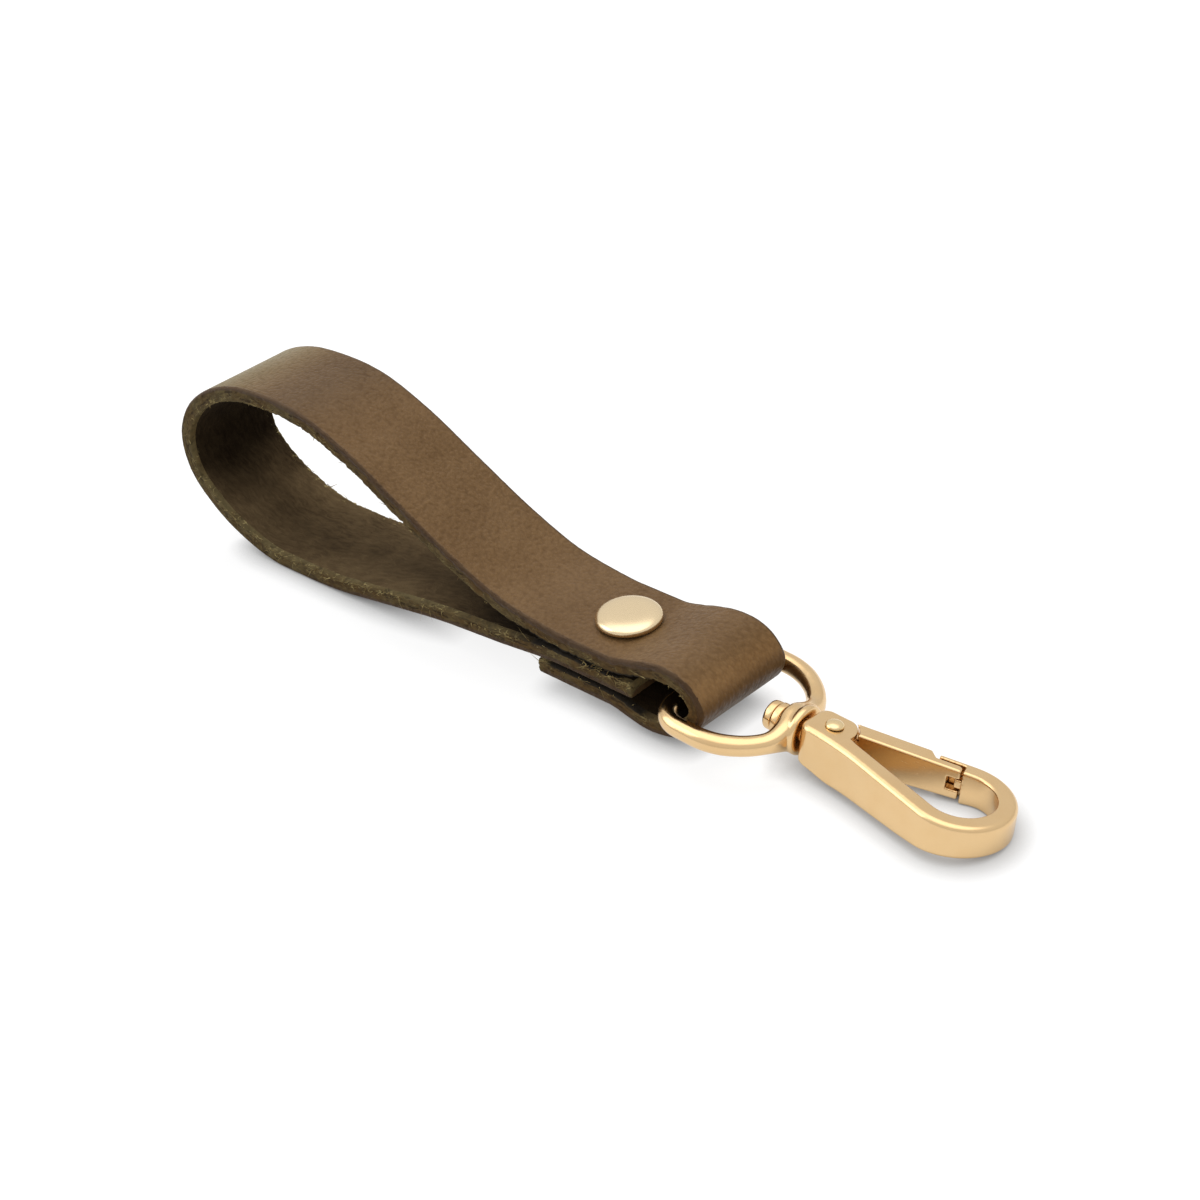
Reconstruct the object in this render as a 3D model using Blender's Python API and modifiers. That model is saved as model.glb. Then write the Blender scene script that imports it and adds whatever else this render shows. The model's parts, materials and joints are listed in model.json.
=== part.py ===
"""Loop keychain: a riveted leather loop, a swivel D-ring and a trigger hook.

Metres, +Z up. The loop lies on its belly: the origin is the middle of the flat
that the belly rests on, +X runs along the strap toward the hook, and +Y goes
across the strap to the side that the gate is on.
"""

from math import asin, atan2, cos, hypot, pi, radians, sin, sqrt

import bmesh
import bpy
from mathutils import Matrix, Vector

MM = 0.001

# Leather strap
STRAP_WIDTH = 19.0 * MM
LEATHER = 2.9 * MM
LEATHER_EDGE_ROUND = 0.45 * MM
LAYER_GAP = 0.45 * MM
LOOP_LENGTH = 101.3 * MM
LOOP_HEIGHT = 36.7 * MM
BELLY_TO_RIVET = 74.3 * MM
BELLY_FLAT = 8.0 * MM
STACK_HEIGHT = 7.75 * MM
STACK_TILT = radians(1.0)
CLAMPED_BACK = 5.7 * MM
CLAMPED_AHEAD = 4.7 * MM
INNER_END_REACH = 8.4 * MM
OUTER_END_REACH = 12.1 * MM
FOLD_LENGTH = 22.15 * MM
FOLD_HALF_HEIGHT = 5.8 * MM

# The loop's middle line, as shares of the loop's length back from the rivet
# and of its height, from the inner end's side round to the top layer's side
LOWER_RUN_SHARES = (
    (0.077, 0.189),
    (0.208, 0.156),
    (0.353, 0.123),
    (0.509, 0.058),
    (0.630, 0.009),
)
UPPER_RUN_SHARES = (
    (0.867, 0.061),
    (0.948, 0.199),
    (0.995, 0.371),
    (0.999, 0.555),
    (0.969, 0.723),
    (0.909, 0.871),
    (0.827, 0.972),
    (0.733, 1.000),
    (0.635, 0.975),
    (0.531, 0.859),
    (0.413, 0.664),
    (0.294, 0.472),
    (0.195, 0.351),
    (0.110, 0.304),
)

# The fold's middle line, as shares of the fold's length ahead of the rivet and
# of its half height above or below the rivet's middle layer
FOLD_SHARES = (
    (0.343, 0.733),
    (0.508, 0.917),
    (0.720, 1.000),
    (0.860, 0.900),
    (0.955, 0.620),
    (1.000, 0.250),
    (0.968, -0.100),
    (0.885, -0.450),
    (0.765, -0.757),
    (0.600, -0.955),
    (0.460, -0.985),
    (0.350, -0.870),
)

# Double-cap rivet
CAP_RADIUS = 5.25 * MM
CAP_HEIGHT = 1.75 * MM
CAP_SHEET = 0.35 * MM
RIM_ROLL = 0.55 * MM
SOCKET_RADIUS = 1.7 * MM
SOCKET_WALL = 0.4 * MM
POST_WALL = 0.35 * MM
FLANGE_SHEET = 0.4 * MM

# D-ring with swivel hub
BAR_AHEAD = 15.4 * MM
BAR_BELOW = 0.65 * MM
WIRE_RADIUS = 1.65 * MM
RING_SIDE_GAP = 0.35 * MM
RING_CORNER = 4.0 * MM
RING_SIDE_REACH = 7.2 * MM
HUB_RADIUS = 3.9 * MM
HUB_WAIST_RADIUS = 3.3 * MM
HUB_BOSS_RADIUS = 3.45 * MM
HUB_WAIST_SHARE = 0.55
HUB_LENGTH = 4.1 * MM
HUB_BEHIND_APEX = 2.8 * MM
HUB_EDGE_ROUND = 0.5 * MM
SWIVEL_POST_RADIUS = 1.75 * MM
WASHER_RADIUS = 2.55 * MM
WASHER_THICKNESS = 1.25 * MM
PEENED_RADIUS = 2.4 * MM
PEENED_THICKNESS = 1.5 * MM
PEENED_ROUND_SHARE = 0.25

# Trigger hook
HOOK_ROLL = radians(-9.3)
HOOK_BEYOND_GATE = 10.8 * MM
HOOK_END_RADIUS = 8.4 * MM
HOOK_BAR = 3.0 * MM
HOOK_NECK_HALF_WIDTH = 3.6 * MM
HOOK_NECK_LENGTH = 6.7 * MM
NECK_CORNER = 1.2 * MM
HOOK_NECK_HEIGHT = 6.75 * MM
HOOK_END_HEIGHT = 4.2 * MM
HOOK_EDGE_ROUND = 0.8 * MM
OPENING_ROUND_SHARE = 0.5
PIN_FROM_NECK = 4.3 * MM
BOSS_RADIUS = 3.5 * MM
GATE_LENGTH = 19.9 * MM
GATE_EDGE_ROUND = 0.35 * MM
LIP_LENGTH = 4.2 * MM
LIP_THICKNESS = 1.15 * MM
TONGUE_LENGTH = 1.2 * MM
TONGUE_HEIGHT = 1.5 * MM
NOTCH_DEPTH = 1.9 * MM
CHEEK = 1.3 * MM
KNUCKLE_RADIUS = 1.9 * MM
KNUCKLE_PLATE = 0.65 * MM
WEB_HIGH = radians(55.0)
WEB_SLACK = radians(5.0)
SLOT_LOW_SHARE = 0.8
PIN_RADIUS = 0.9 * MM
PIN_HEAD_RADIUS = 1.45 * MM
PIN_HEAD_HEIGHT = 0.6 * MM
PIN_TAIL_RADIUS = 1.35 * MM
PIN_TAIL_HEIGHT = 0.35 * MM
SPRING_WIRE_RADIUS = 0.18 * MM
SPRING_PITCH = 0.8 * MM
SPRING_TURNS = 2.0

# Clearances
SEAT_GAP = 0.3 * MM
RUNNING_GAP = 0.1 * MM
CUT_OVERRUN = 1.0 * MM
MERGE = 0.001 * MM

# Fineness of round shapes
PATH_STEPS = 4
TURN_STEPS = 40
WIRE_STEPS = 6
ROUND_STEPS = 18
DOME_STEPS = 8


def clear_scene():
    for old in list(bpy.data.objects):
        bpy.data.objects.remove(old, do_unlink=True)


def new_collection(name):
    collection = bpy.data.collections.new(name)
    bpy.context.scene.collection.children.link(collection)
    return collection


def new_material(name, color, roughness, metallic):
    material = bpy.data.materials.new(name)
    material.use_nodes = True
    shader = material.node_tree.nodes["Principled BSDF"]
    shader.inputs["Base Color"].default_value = (*color, 1.0)
    shader.inputs["Roughness"].default_value = roughness
    shader.inputs["Metallic"].default_value = metallic
    return material


clear_scene()
PARTS = new_collection("loop_keychain")
CUTTERS = new_collection("cutters")
TAN_LEATHER = new_material("tan_leather", (0.22, 0.14, 0.085), 0.6, 0.0)
GOLD_CAST = new_material("satin_gold_casting", (0.78, 0.56, 0.31), 0.28, 1.0)
GOLD_SHEET = new_material("polished_gold_sheet", (0.83, 0.66, 0.42), 0.2, 1.0)
GOLD_PIN = new_material("gold_pin", (0.8, 0.6, 0.34), 0.25, 1.0)
SPRING_STEEL = new_material("spring_steel", (0.55, 0.55, 0.56), 0.3, 1.0)


def place(obj, collection, parent=None, material=None):
    """Links an object once, under its parent and with its material."""
    for old in list(obj.users_collection):
        old.objects.unlink(obj)
    collection.objects.link(obj)
    obj.parent = parent
    if material is not None:
        obj.data.materials.clear()
        obj.data.materials.append(material)
    if collection is CUTTERS:
        obj.hide_render = True
        obj.display_type = "WIRE"
    return obj


def mesh_object(name, bm, smooth=True):
    mesh = bpy.data.meshes.new(name)
    bm.to_mesh(mesh)
    bm.free()
    if smooth:
        mesh.shade_smooth()
        mesh.set_sharp_from_angle(angle=radians(40.0))
    return bpy.data.objects.new(name, mesh)


def empty_at(name, location, rotation=(0.0, 0.0, 0.0), parent=None):
    empty = bpy.data.objects.new(name, None)
    empty.location = location
    empty.rotation_euler = rotation
    empty.empty_display_size = WIRE_RADIUS
    return place(empty, PARTS, parent)


def turned(name, profile, along_x=False, steps=TURN_STEPS):
    """A profile of (radius, height) points turned about Z, or about X."""
    bm = bmesh.new()
    points = [bm.verts.new((radius, 0.0, height)) for radius, height in profile]
    for first, second in zip(points, points[1:]):
        bm.edges.new((first, second))
    obj = mesh_object(name, bm, smooth=False)
    screw = obj.modifiers.new("turn", "SCREW")
    screw.steps = steps
    screw.render_steps = steps
    screw.use_merge_vertices = True
    screw.merge_threshold = MERGE
    screw.use_smooth_shade = True
    if along_x:
        obj.rotation_euler = (0.0, pi / 2, 0.0)
    return obj


def ring_turned(name, inner, outer, low, high, **options):
    """A turned ring with a square section."""
    profile = ((outer, high), (outer, low), (inner, low), (inner, high), (outer, high))
    return turned(name, profile, **options)


def rod(name, radius, low, high, **options):
    """A plain turned rod."""
    profile = ((0.0, high), (radius, high), (radius, low), (0.0, low))
    return turned(name, profile, **options)


def meshed(obj):
    """The curve's mesh, its caps welded, as a new object in the curve's place."""
    place(obj, CUTTERS)
    bpy.context.view_layer.update()
    graph = bpy.context.evaluated_depsgraph_get()
    mesh = bpy.data.meshes.new_from_object(obj.evaluated_get(graph))
    bm = bmesh.new()
    bm.from_mesh(mesh)
    bmesh.ops.remove_doubles(bm, verts=bm.verts, dist=MERGE)
    bmesh.ops.dissolve_limit(bm, angle_limit=radians(0.5), verts=bm.verts, edges=bm.edges)
    bmesh.ops.recalc_face_normals(bm, faces=bm.faces)
    bpy.data.meshes.remove(mesh)
    name = obj.name
    matrix = obj.matrix_world.copy()
    bpy.data.objects.remove(obj, do_unlink=True)
    solid = mesh_object(name, bm)
    solid.matrix_world = matrix
    return solid


def plate(name, outline, low, high, hole=None):
    """A flat outline of (x, y) points, filled and extruded from low to high."""
    curve = bpy.data.curves.new(name, "CURVE")
    curve.dimensions = "2D"
    curve.fill_mode = "BOTH"
    curve.extrude = (high - low) / 2
    for loop in (outline, hole):
        if loop is None:
            continue
        spline = curve.splines.new("POLY")
        spline.points.add(len(loop) - 1)
        for point, (x, y) in zip(spline.points, loop):
            point.co = (x, y, (high + low) / 2, 1.0)
        spline.use_cyclic_u = True
    return meshed(bpy.data.objects.new(name, curve))


def wire(name, points, radius, closed=False, resolution=4):
    """A round wire through the points."""
    curve = bpy.data.curves.new(name, "CURVE")
    curve.dimensions = "3D"
    curve.bevel_depth = radius
    curve.bevel_resolution = resolution
    curve.use_fill_caps = not closed
    spline = curve.splines.new("POLY")
    spline.points.add(len(points) - 1)
    for point, place_at in zip(spline.points, points):
        point.co = (*place_at, 1.0)
    spline.use_cyclic_u = closed
    return bpy.data.objects.new(name, curve)


def combine(obj, other, operation):
    modifier = obj.modifiers.new(other.name, "BOOLEAN")
    modifier.operation = operation
    modifier.solver = "EXACT"
    modifier.object = other
    return obj


def bevel(obj, width, segments=2, limit=radians(50.0)):
    modifier = obj.modifiers.new("round", "BEVEL")
    modifier.width = width
    modifier.segments = segments
    modifier.limit_method = "ANGLE"
    modifier.angle_limit = limit
    return modifier


def bevel_weighted(obj, width, segments=3):
    """Rounds the edges that carry a weight, each by its weight's share of the width."""
    modifier = bevel(obj, width, segments)
    modifier.limit_method = "WEIGHT"
    modifier.use_clamp_overlap = False
    return modifier


def arc(centre, radius, start, end, steps):
    """Points on an arc from one angle to another, both ends included."""
    angles = [start + (end - start) * i / steps for i in range(steps + 1)]
    return [(centre[0] + radius * cos(a), centre[1] + radius * sin(a)) for a in angles]


# The strap's middle line

LAYER_STEP = LEATHER + LAYER_GAP
TILT_RUN = Vector((cos(STACK_TILT), -sin(STACK_TILT)))
RIVET_POINT = Vector((BELLY_TO_RIVET, STACK_HEIGHT))
BAR_POINT = RIVET_POINT + Vector((BAR_AHEAD, -BAR_BELOW))


def loop_point(share):
    """A point of the loop from its shares of the length and of the height."""
    back, up = share
    rise = LEATHER / 2 + up * (LOOP_HEIGHT - LEATHER)
    return Vector((BELLY_TO_RIVET - back * LOOP_LENGTH, rise))


def fold_point(share):
    """A point of the fold from its shares of the fold's length and half height."""
    ahead, up = share
    return RIVET_POINT + Vector((ahead * FOLD_LENGTH, up * FOLD_HALF_HEIGHT))


def stack_point(layer, reach):
    """A point in the riveted stack: layer 1 is the top, 0 the middle, -1 the bottom."""
    across = Vector((-TILT_RUN.y, TILT_RUN.x))
    return RIVET_POINT + layer * LAYER_STEP * across + reach * TILT_RUN


def strap_knots():
    """(point, heading) pairs along the strap, heading None where it follows its neighbours."""
    back = -TILT_RUN
    flat = Vector((-1.0, 0.0))
    knots = [
        (stack_point(0, INNER_END_REACH), back),
        (stack_point(0, -CLAMPED_BACK), back),
    ]
    knots += [(loop_point(share), None) for share in LOWER_RUN_SHARES]
    knots += [
        (Vector((BELLY_FLAT / 2, LEATHER / 2)), flat),
        (Vector((-BELLY_FLAT / 2, LEATHER / 2)), flat),
    ]
    knots += [(loop_point(share), None) for share in UPPER_RUN_SHARES]
    knots += [
        (stack_point(1, -CLAMPED_BACK), TILT_RUN),
        (stack_point(1, CLAMPED_AHEAD), TILT_RUN),
    ]
    knots += [(fold_point(share), None) for share in FOLD_SHARES]
    knots += [
        (stack_point(-1, CLAMPED_AHEAD), back),
        (stack_point(-1, -OUTER_END_REACH), back),
    ]
    return knots


def strap_path(knots, steps):
    """Points on a smooth line through the knots: each piece is a cubic set by its two headings."""
    places = [knot[0] for knot in knots]
    headings = []
    for i, (point, heading) in enumerate(knots):
        if heading is None:
            ahead = places[i + 1] - point
            behind = point - places[i - 1]
            heading = ahead / ahead.length ** 2 + behind / behind.length ** 2
        headings.append(heading.normalized())
    path = []
    for i in range(len(places) - 1):
        chord = (places[i + 1] - places[i]).length
        for k in range(steps):
            t = k / steps
            start = (1 + 2 * t) * (1 - t) ** 2 * places[i] + t * (1 - t) ** 2 * chord * headings[i]
            end = t ** 2 * (3 - 2 * t) * places[i + 1] + t ** 2 * (t - 1) * chord * headings[i + 1]
            path.append(start + end)
    path.append(places[-1])
    return path


def make_strap(rivet):
    """The strip as an open sheet along its middle line, thickened, with eased edges."""
    path = strap_path(strap_knots(), PATH_STEPS)
    bm = bmesh.new()
    near = [bm.verts.new((p.x, -STRAP_WIDTH / 2, p.y)) for p in path]
    far = [bm.verts.new((p.x, STRAP_WIDTH / 2, p.y)) for p in path]
    for i in range(len(path) - 1):
        bm.faces.new((near[i], near[i + 1], far[i + 1], far[i]))
    strap = place(mesh_object("strap", bm), PARTS, material=TAN_LEATHER)
    solidify = strap.modifiers.new("leather", "SOLIDIFY")
    solidify.thickness = LEATHER
    solidify.offset = 0.0
    solidify.use_even_offset = True
    bevel(strap, LEATHER_EDGE_ROUND)
    reach = 1.5 * LAYER_STEP + LEATHER
    hole = rod("rivet_hole", SOCKET_RADIUS + SEAT_GAP, -reach, reach)
    combine(strap, place(hole, CUTTERS, rivet), "DIFFERENCE")
    return strap


# Rivet, in its own frame: the stack's middle at 0

STACK_HALF = LAYER_STEP + LEATHER / 2


CAP_INNER = CAP_RADIUS - RIM_ROLL
SEAT = STACK_HALF + SEAT_GAP


def facing(up, profile):
    """The profile on top, or turned over for the underside."""
    return profile if up else [(radius, -height) for radius, height in reversed(profile)]


def cap_profile():
    """A thin low dome with a rolled rim."""
    crown = CAP_HEIGHT - 2 * RIM_ROLL
    rise = [(CAP_INNER * k / DOME_STEPS, 1 - (k / DOME_STEPS) ** 2) for k in range(DOME_STEPS + 1)]
    dome = [(radius, SEAT + 2 * RIM_ROLL + crown * share) for radius, share in rise]
    roll = arc((CAP_INNER, SEAT + RIM_ROLL), RIM_ROLL, pi / 2, -pi / 2, 2 * WIRE_STEPS)[1:]
    roof = [(radius, height - CAP_SHEET) for radius, height in reversed(dome)]
    return dome + roll + roof


def socket_profile(flange, radius, wall, length):
    """A flanged tube, open at its far end, whose flange lies under the cap's rim."""
    top = SEAT + FLANGE_SHEET
    return [
        (0.0, top),
        (flange, top),
        (flange, SEAT),
        (radius, SEAT),
        (radius, SEAT - length),
        (radius - wall, SEAT - length),
        (radius - wall, SEAT),
        (0.0, SEAT),
    ]


def make_rivet(frame):
    flange = CAP_INNER - SEAT_GAP
    bore = SOCKET_RADIUS - SOCKET_WALL
    socket_length = SEAT + LAYER_STEP / 2
    post_length = 2 * SEAT - FLANGE_SHEET
    socket = socket_profile(flange, SOCKET_RADIUS, SOCKET_WALL, socket_length)
    post = socket_profile(flange, bore - RUNNING_GAP, POST_WALL, post_length)
    for name, up, profile in (
        ("rivet_cap", True, cap_profile()),
        ("rivet_socket", True, socket),
        ("rivet_base", False, cap_profile()),
        ("rivet_post", False, post),
    ):
        place(turned(name, facing(up, profile)), PARTS, frame, GOLD_SHEET)


# D-ring, in its own frame: the bar along Y, the swivel axis along X

RING_HALF = STRAP_WIDTH / 2 + RING_SIDE_GAP + WIRE_RADIUS
HUB_INNER_FACE = RING_SIDE_REACH + RING_HALF - HUB_BEHIND_APEX
HUB_OUTER_FACE = HUB_INNER_FACE + HUB_LENGTH
HUB_BORE = SWIVEL_POST_RADIUS + RUNNING_GAP


def ring_path():
    """The D: a straight bar, two corners, two short sides and a half circle."""
    corner = (RING_CORNER, RING_HALF - RING_CORNER)
    half = [(0.0, 0.0), (0.0, corner[1] / 2)]
    half += arc(corner, RING_CORNER, pi, pi / 2, WIRE_STEPS)
    half += arc((RING_SIDE_REACH, 0.0), RING_HALF, pi / 2, 0.0, 3 * WIRE_STEPS)[1:]
    other = [(x, -y) for x, y in half[-2:0:-1]]
    return [(x, y, 0.0) for x, y in half + other]


def hub_profile():
    """The hub's side from the hook's end to the D's inside: rim, waist and inner boss."""
    rim = HUB_OUTER_FACE
    waist = HUB_INNER_FACE + HUB_WAIST_SHARE * HUB_LENGTH
    top = HUB_RADIUS - HUB_EDGE_ROUND
    side = [(0.0, rim), (top, rim)]
    side += arc((top, rim - HUB_EDGE_ROUND), HUB_EDGE_ROUND, pi / 2, 0.0, 3)[1:]
    side += [(HUB_RADIUS, rim - 2 * HUB_EDGE_ROUND), (HUB_WAIST_RADIUS, waist)]
    side += [(HUB_BOSS_RADIUS, HUB_INNER_FACE + HUB_EDGE_ROUND)]
    side += [(HUB_BOSS_RADIUS - HUB_EDGE_ROUND, HUB_INNER_FACE), (0.0, HUB_INNER_FACE)]
    return side


def make_ring(frame):
    ring = meshed(wire("swivel_d_ring", ring_path(), WIRE_RADIUS, closed=True))
    place(ring, PARTS, frame, GOLD_CAST)
    hub = place(turned("hub", hub_profile(), along_x=True), CUTTERS, frame)
    bore_low = HUB_INNER_FACE - CUT_OVERRUN
    bore_high = HUB_OUTER_FACE + CUT_OVERRUN
    bore = place(rod("hub_bore", HUB_BORE, bore_low, bore_high, along_x=True), CUTTERS, frame)
    combine(ring, hub, "UNION")
    combine(ring, bore, "DIFFERENCE")


# Hook, in its own frame: the neck's face at 0, the swivel axis along X

HOOK_LENGTH = PIN_FROM_NECK + GATE_LENGTH + HOOK_BEYOND_GATE
END_X = HOOK_LENGTH - HOOK_END_RADIUS
INNER_RADIUS = HOOK_END_RADIUS - HOOK_BAR
PIN_X = PIN_FROM_NECK
SIDE_RUN = hypot(END_X - HOOK_NECK_LENGTH, HOOK_NECK_HALF_WIDTH)
SIDE_ANGLE = asin(HOOK_END_RADIUS / SIDE_RUN) - atan2(
    HOOK_NECK_HALF_WIDTH, END_X - HOOK_NECK_LENGTH
)


def side_point(along, inset):
    """A point of the hook's gate side: along its straight edge from the neck, and inset from it."""
    x = HOOK_NECK_LENGTH + along * cos(SIDE_ANGLE) + inset * sin(SIDE_ANGLE)
    y = HOOK_NECK_HALF_WIDTH + along * sin(SIDE_ANGLE) - inset * cos(SIDE_ANGLE)
    return (x, y)


def along_at_radius(radius, inset):
    """How far along the side a line inset from it lies at a radius from the pin."""
    x, y = side_point(0.0, inset)
    dx = x - PIN_X
    towards = dx * cos(SIDE_ANGLE) + y * sin(SIDE_ANGLE)
    return sqrt(radius ** 2 - dx ** 2 - y ** 2 + towards ** 2) - towards


def point_at_radius(radius, inset):
    return side_point(along_at_radius(radius, inset), inset)


def angle_of(point):
    """The direction of a point from the pin."""
    return atan2(point[1], point[0] - PIN_X)


def mirrored(points):
    """The same points on the spine's side, in the other order."""
    return [(x, -y) for x, y in reversed(points)]


def outer_outline():
    corner = (NECK_CORNER, HOOK_NECK_HALF_WIDTH - NECK_CORNER)
    half = arc(corner, NECK_CORNER, pi, pi / 2, 4)
    half += [(HOOK_NECK_LENGTH, HOOK_NECK_HALF_WIDTH)]
    half += arc((END_X, 0.0), HOOK_END_RADIUS, pi / 2 + SIDE_ANGLE, 0.0, ROUND_STEPS)[:-1]
    return half + [(HOOK_LENGTH, 0.0)] + mirrored(half)


def opening_outline():
    """The hook's opening with the gate taken away on neither side."""
    start = point_at_radius(BOSS_RADIUS, HOOK_BAR)
    half = [start]
    half += arc((END_X, 0.0), INNER_RADIUS, pi / 2 + SIDE_ANGLE, 0.0, ROUND_STEPS)[:-1]
    root = arc((PIN_X, 0.0), BOSS_RADIUS, -angle_of(start), angle_of(start), 4)[1:-1]
    return half + [(END_X + INNER_RADIUS, 0.0)] + mirrored(half) + root


def half_height(x):
    """The hook tapers from its neck to its round end."""
    share = x / HOOK_LENGTH
    return (HOOK_NECK_HEIGHT + (HOOK_END_HEIGHT - HOOK_NECK_HEIGHT) * share) / 2


def taper(obj):
    """Gives a plate the hook's height along its length."""
    for vertex in obj.data.vertices:
        vertex.co.z *= half_height(vertex.co.x) / (HOOK_NECK_HEIGHT / 2)
    return obj


def weigh_rims(obj, outline):
    """Marks the rims to round: fully on the outline, less round the opening, not at its root."""
    bm = bmesh.new()
    bm.from_mesh(obj.data)
    weight = bm.edges.layers.float.new("bevel_weight_edge")
    for edge in bm.edges:
        first, second = (vertex.co for vertex in edge.verts)
        if first.z * second.z < 0 or edge.calc_face_angle() < radians(45.0):
            continue
        middle = (first + second) / 2
        from_outline = min(hypot(first.x - x, first.y - y) for x, y in outline)
        if from_outline < MERGE:
            edge[weight] = 1.0
        elif hypot(middle.x - PIN_X, middle.y) > BOSS_RADIUS:
            edge[weight] = OPENING_ROUND_SHARE
    bm.to_mesh(obj.data)
    bm.free()


SLOT_HALF = half_height(PIN_X) - CHEEK
RECESS_HALF = SLOT_HALF - RUNNING_GAP - KNUCKLE_PLATE
NOSE_FACE = GATE_LENGTH + SEAT_GAP
LIP_START = along_at_radius(NOSE_FACE, LIP_THICKNESS) - LIP_LENGTH
OPENING_ROOT = angle_of(point_at_radius(BOSS_RADIUS, HOOK_BAR))


def gate_gap_outline():
    """What is cut from the whole hook to leave room for the gate, with the lip outside it."""
    inside = HOOK_BAR + CUT_OVERRUN
    nose = angle_of(point_at_radius(NOSE_FACE, LIP_THICKNESS))
    opening = angle_of(point_at_radius(NOSE_FACE, inside))
    points = arc((PIN_X, 0.0), BOSS_RADIUS, OPENING_ROOT, pi / 2, 2 * WIRE_STEPS)
    points += [(PIN_X, HOOK_NECK_HALF_WIDTH + 2 * CUT_OVERRUN)]
    points += [side_point(0.0, -2 * CUT_OVERRUN), side_point(LIP_START, -2 * CUT_OVERRUN)]
    points += [side_point(LIP_START, LIP_THICKNESS)]
    points += arc((PIN_X, 0.0), NOSE_FACE, nose, opening, 4)
    return points + [point_at_radius(BOSS_RADIUS + CUT_OVERRUN, inside)]


def knuckle_outline(radius, low, high, reach):
    """A disc round the pin with a web that fans out between two directions."""
    disc = arc((PIN_X, 0.0), radius, high, low + 2 * pi, 4 * WIRE_STEPS)
    return disc + arc((PIN_X, 0.0), reach, low, high, WIRE_STEPS)


def gate_outline():
    """The gate: round its hinge, flush with the hook's side, stepped in under the lip."""
    root = BOSS_RADIUS + SEAT_GAP
    step = LIP_THICKNESS + SEAT_GAP
    first = angle_of(point_at_radius(root, HOOK_BAR))
    last = angle_of(point_at_radius(root, 0.0))
    points = arc((PIN_X, 0.0), root, first, last, WIRE_STEPS)
    points += [side_point(LIP_START - step, 0.0), side_point(LIP_START - SEAT_GAP, step)]
    tip_outer = angle_of(point_at_radius(GATE_LENGTH, step))
    tip_inner = angle_of(point_at_radius(GATE_LENGTH, HOOK_BAR))
    return points + arc((PIN_X, 0.0), GATE_LENGTH, tip_outer, tip_inner, 3)


def post_profile():
    """The swivel post from inside the neck, through the hub and the washer, to its peened end."""
    root = HOOK_EDGE_ROUND + SEAT_GAP
    shank = -(SEAT_GAP + HUB_LENGTH + WASHER_THICKNESS + 2 * RUNNING_GAP)
    end = shank - PEENED_THICKNESS
    round_off = PEENED_THICKNESS * PEENED_ROUND_SHARE
    return [
        (0.0, root),
        (SWIVEL_POST_RADIUS, root),
        (SWIVEL_POST_RADIUS, shank),
        (PEENED_RADIUS, shank),
        (PEENED_RADIUS, end + round_off),
        (PEENED_RADIUS - round_off, end),
        (0.0, end),
    ]


def centred(obj):
    """Moves a piece's points so that the pin's axis is its origin."""
    obj.data.transform(Matrix.Translation((-PIN_X, 0.0, 0.0)))
    return obj


def make_hook(frame, pin_frame):
    high = HOOK_NECK_HEIGHT / 2
    body = taper(plate("hook_body", outer_outline(), -high, high, opening_outline()))
    weigh_rims(body, outer_outline())
    place(body, PARTS, frame, GOLD_CAST)
    bevel_weighted(body, HOOK_EDGE_ROUND)
    over = high + CUT_OVERRUN
    gap = place(plate("gate_gap", gate_gap_outline(), -over, over), CUTTERS, frame)
    reach = BOSS_RADIUS + CUT_OVERRUN
    low = -OPENING_ROOT * SLOT_LOW_SHARE
    slot_outline = knuckle_outline(KNUCKLE_RADIUS + SEAT_GAP, low, WEB_HIGH + WEB_SLACK, reach)
    slot = place(plate("knuckle_slot", slot_outline, -SLOT_HALF, SLOT_HALF), CUTTERS, frame)
    bore = place(rod("pin_bore", PIN_RADIUS + RUNNING_GAP, -over, over), CUTTERS, pin_frame)
    post = place(turned("swivel_post", post_profile(), along_x=True), CUTTERS, frame)
    deep = NOSE_FACE + CUT_OVERRUN
    front = NOSE_FACE - TONGUE_LENGTH
    outer = LIP_THICKNESS + SEAT_GAP
    inner = HOOK_BAR - SEAT_GAP
    tongue_outline = [
        point_at_radius(front, inner),
        point_at_radius(front, outer),
        point_at_radius(deep, outer),
        point_at_radius(deep, inner),
    ][::-1]
    tongue = plate("nose_tongue", tongue_outline, -TONGUE_HEIGHT / 2, TONGUE_HEIGHT / 2)
    place(tongue, CUTTERS, frame)
    combine(body, gap, "DIFFERENCE")
    combine(body, slot, "DIFFERENCE")
    combine(body, bore, "DIFFERENCE")
    combine(body, post, "UNION")
    combine(body, tongue, "UNION")


def make_washer(frame):
    high = -(SEAT_GAP + HUB_LENGTH + RUNNING_GAP)
    low = high - WASHER_THICKNESS
    inner = SWIVEL_POST_RADIUS + RUNNING_GAP
    washer = ring_turned("swivel_washer", inner, WASHER_RADIUS, low, high, along_x=True)
    place(washer, PARTS, frame, GOLD_CAST)


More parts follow.
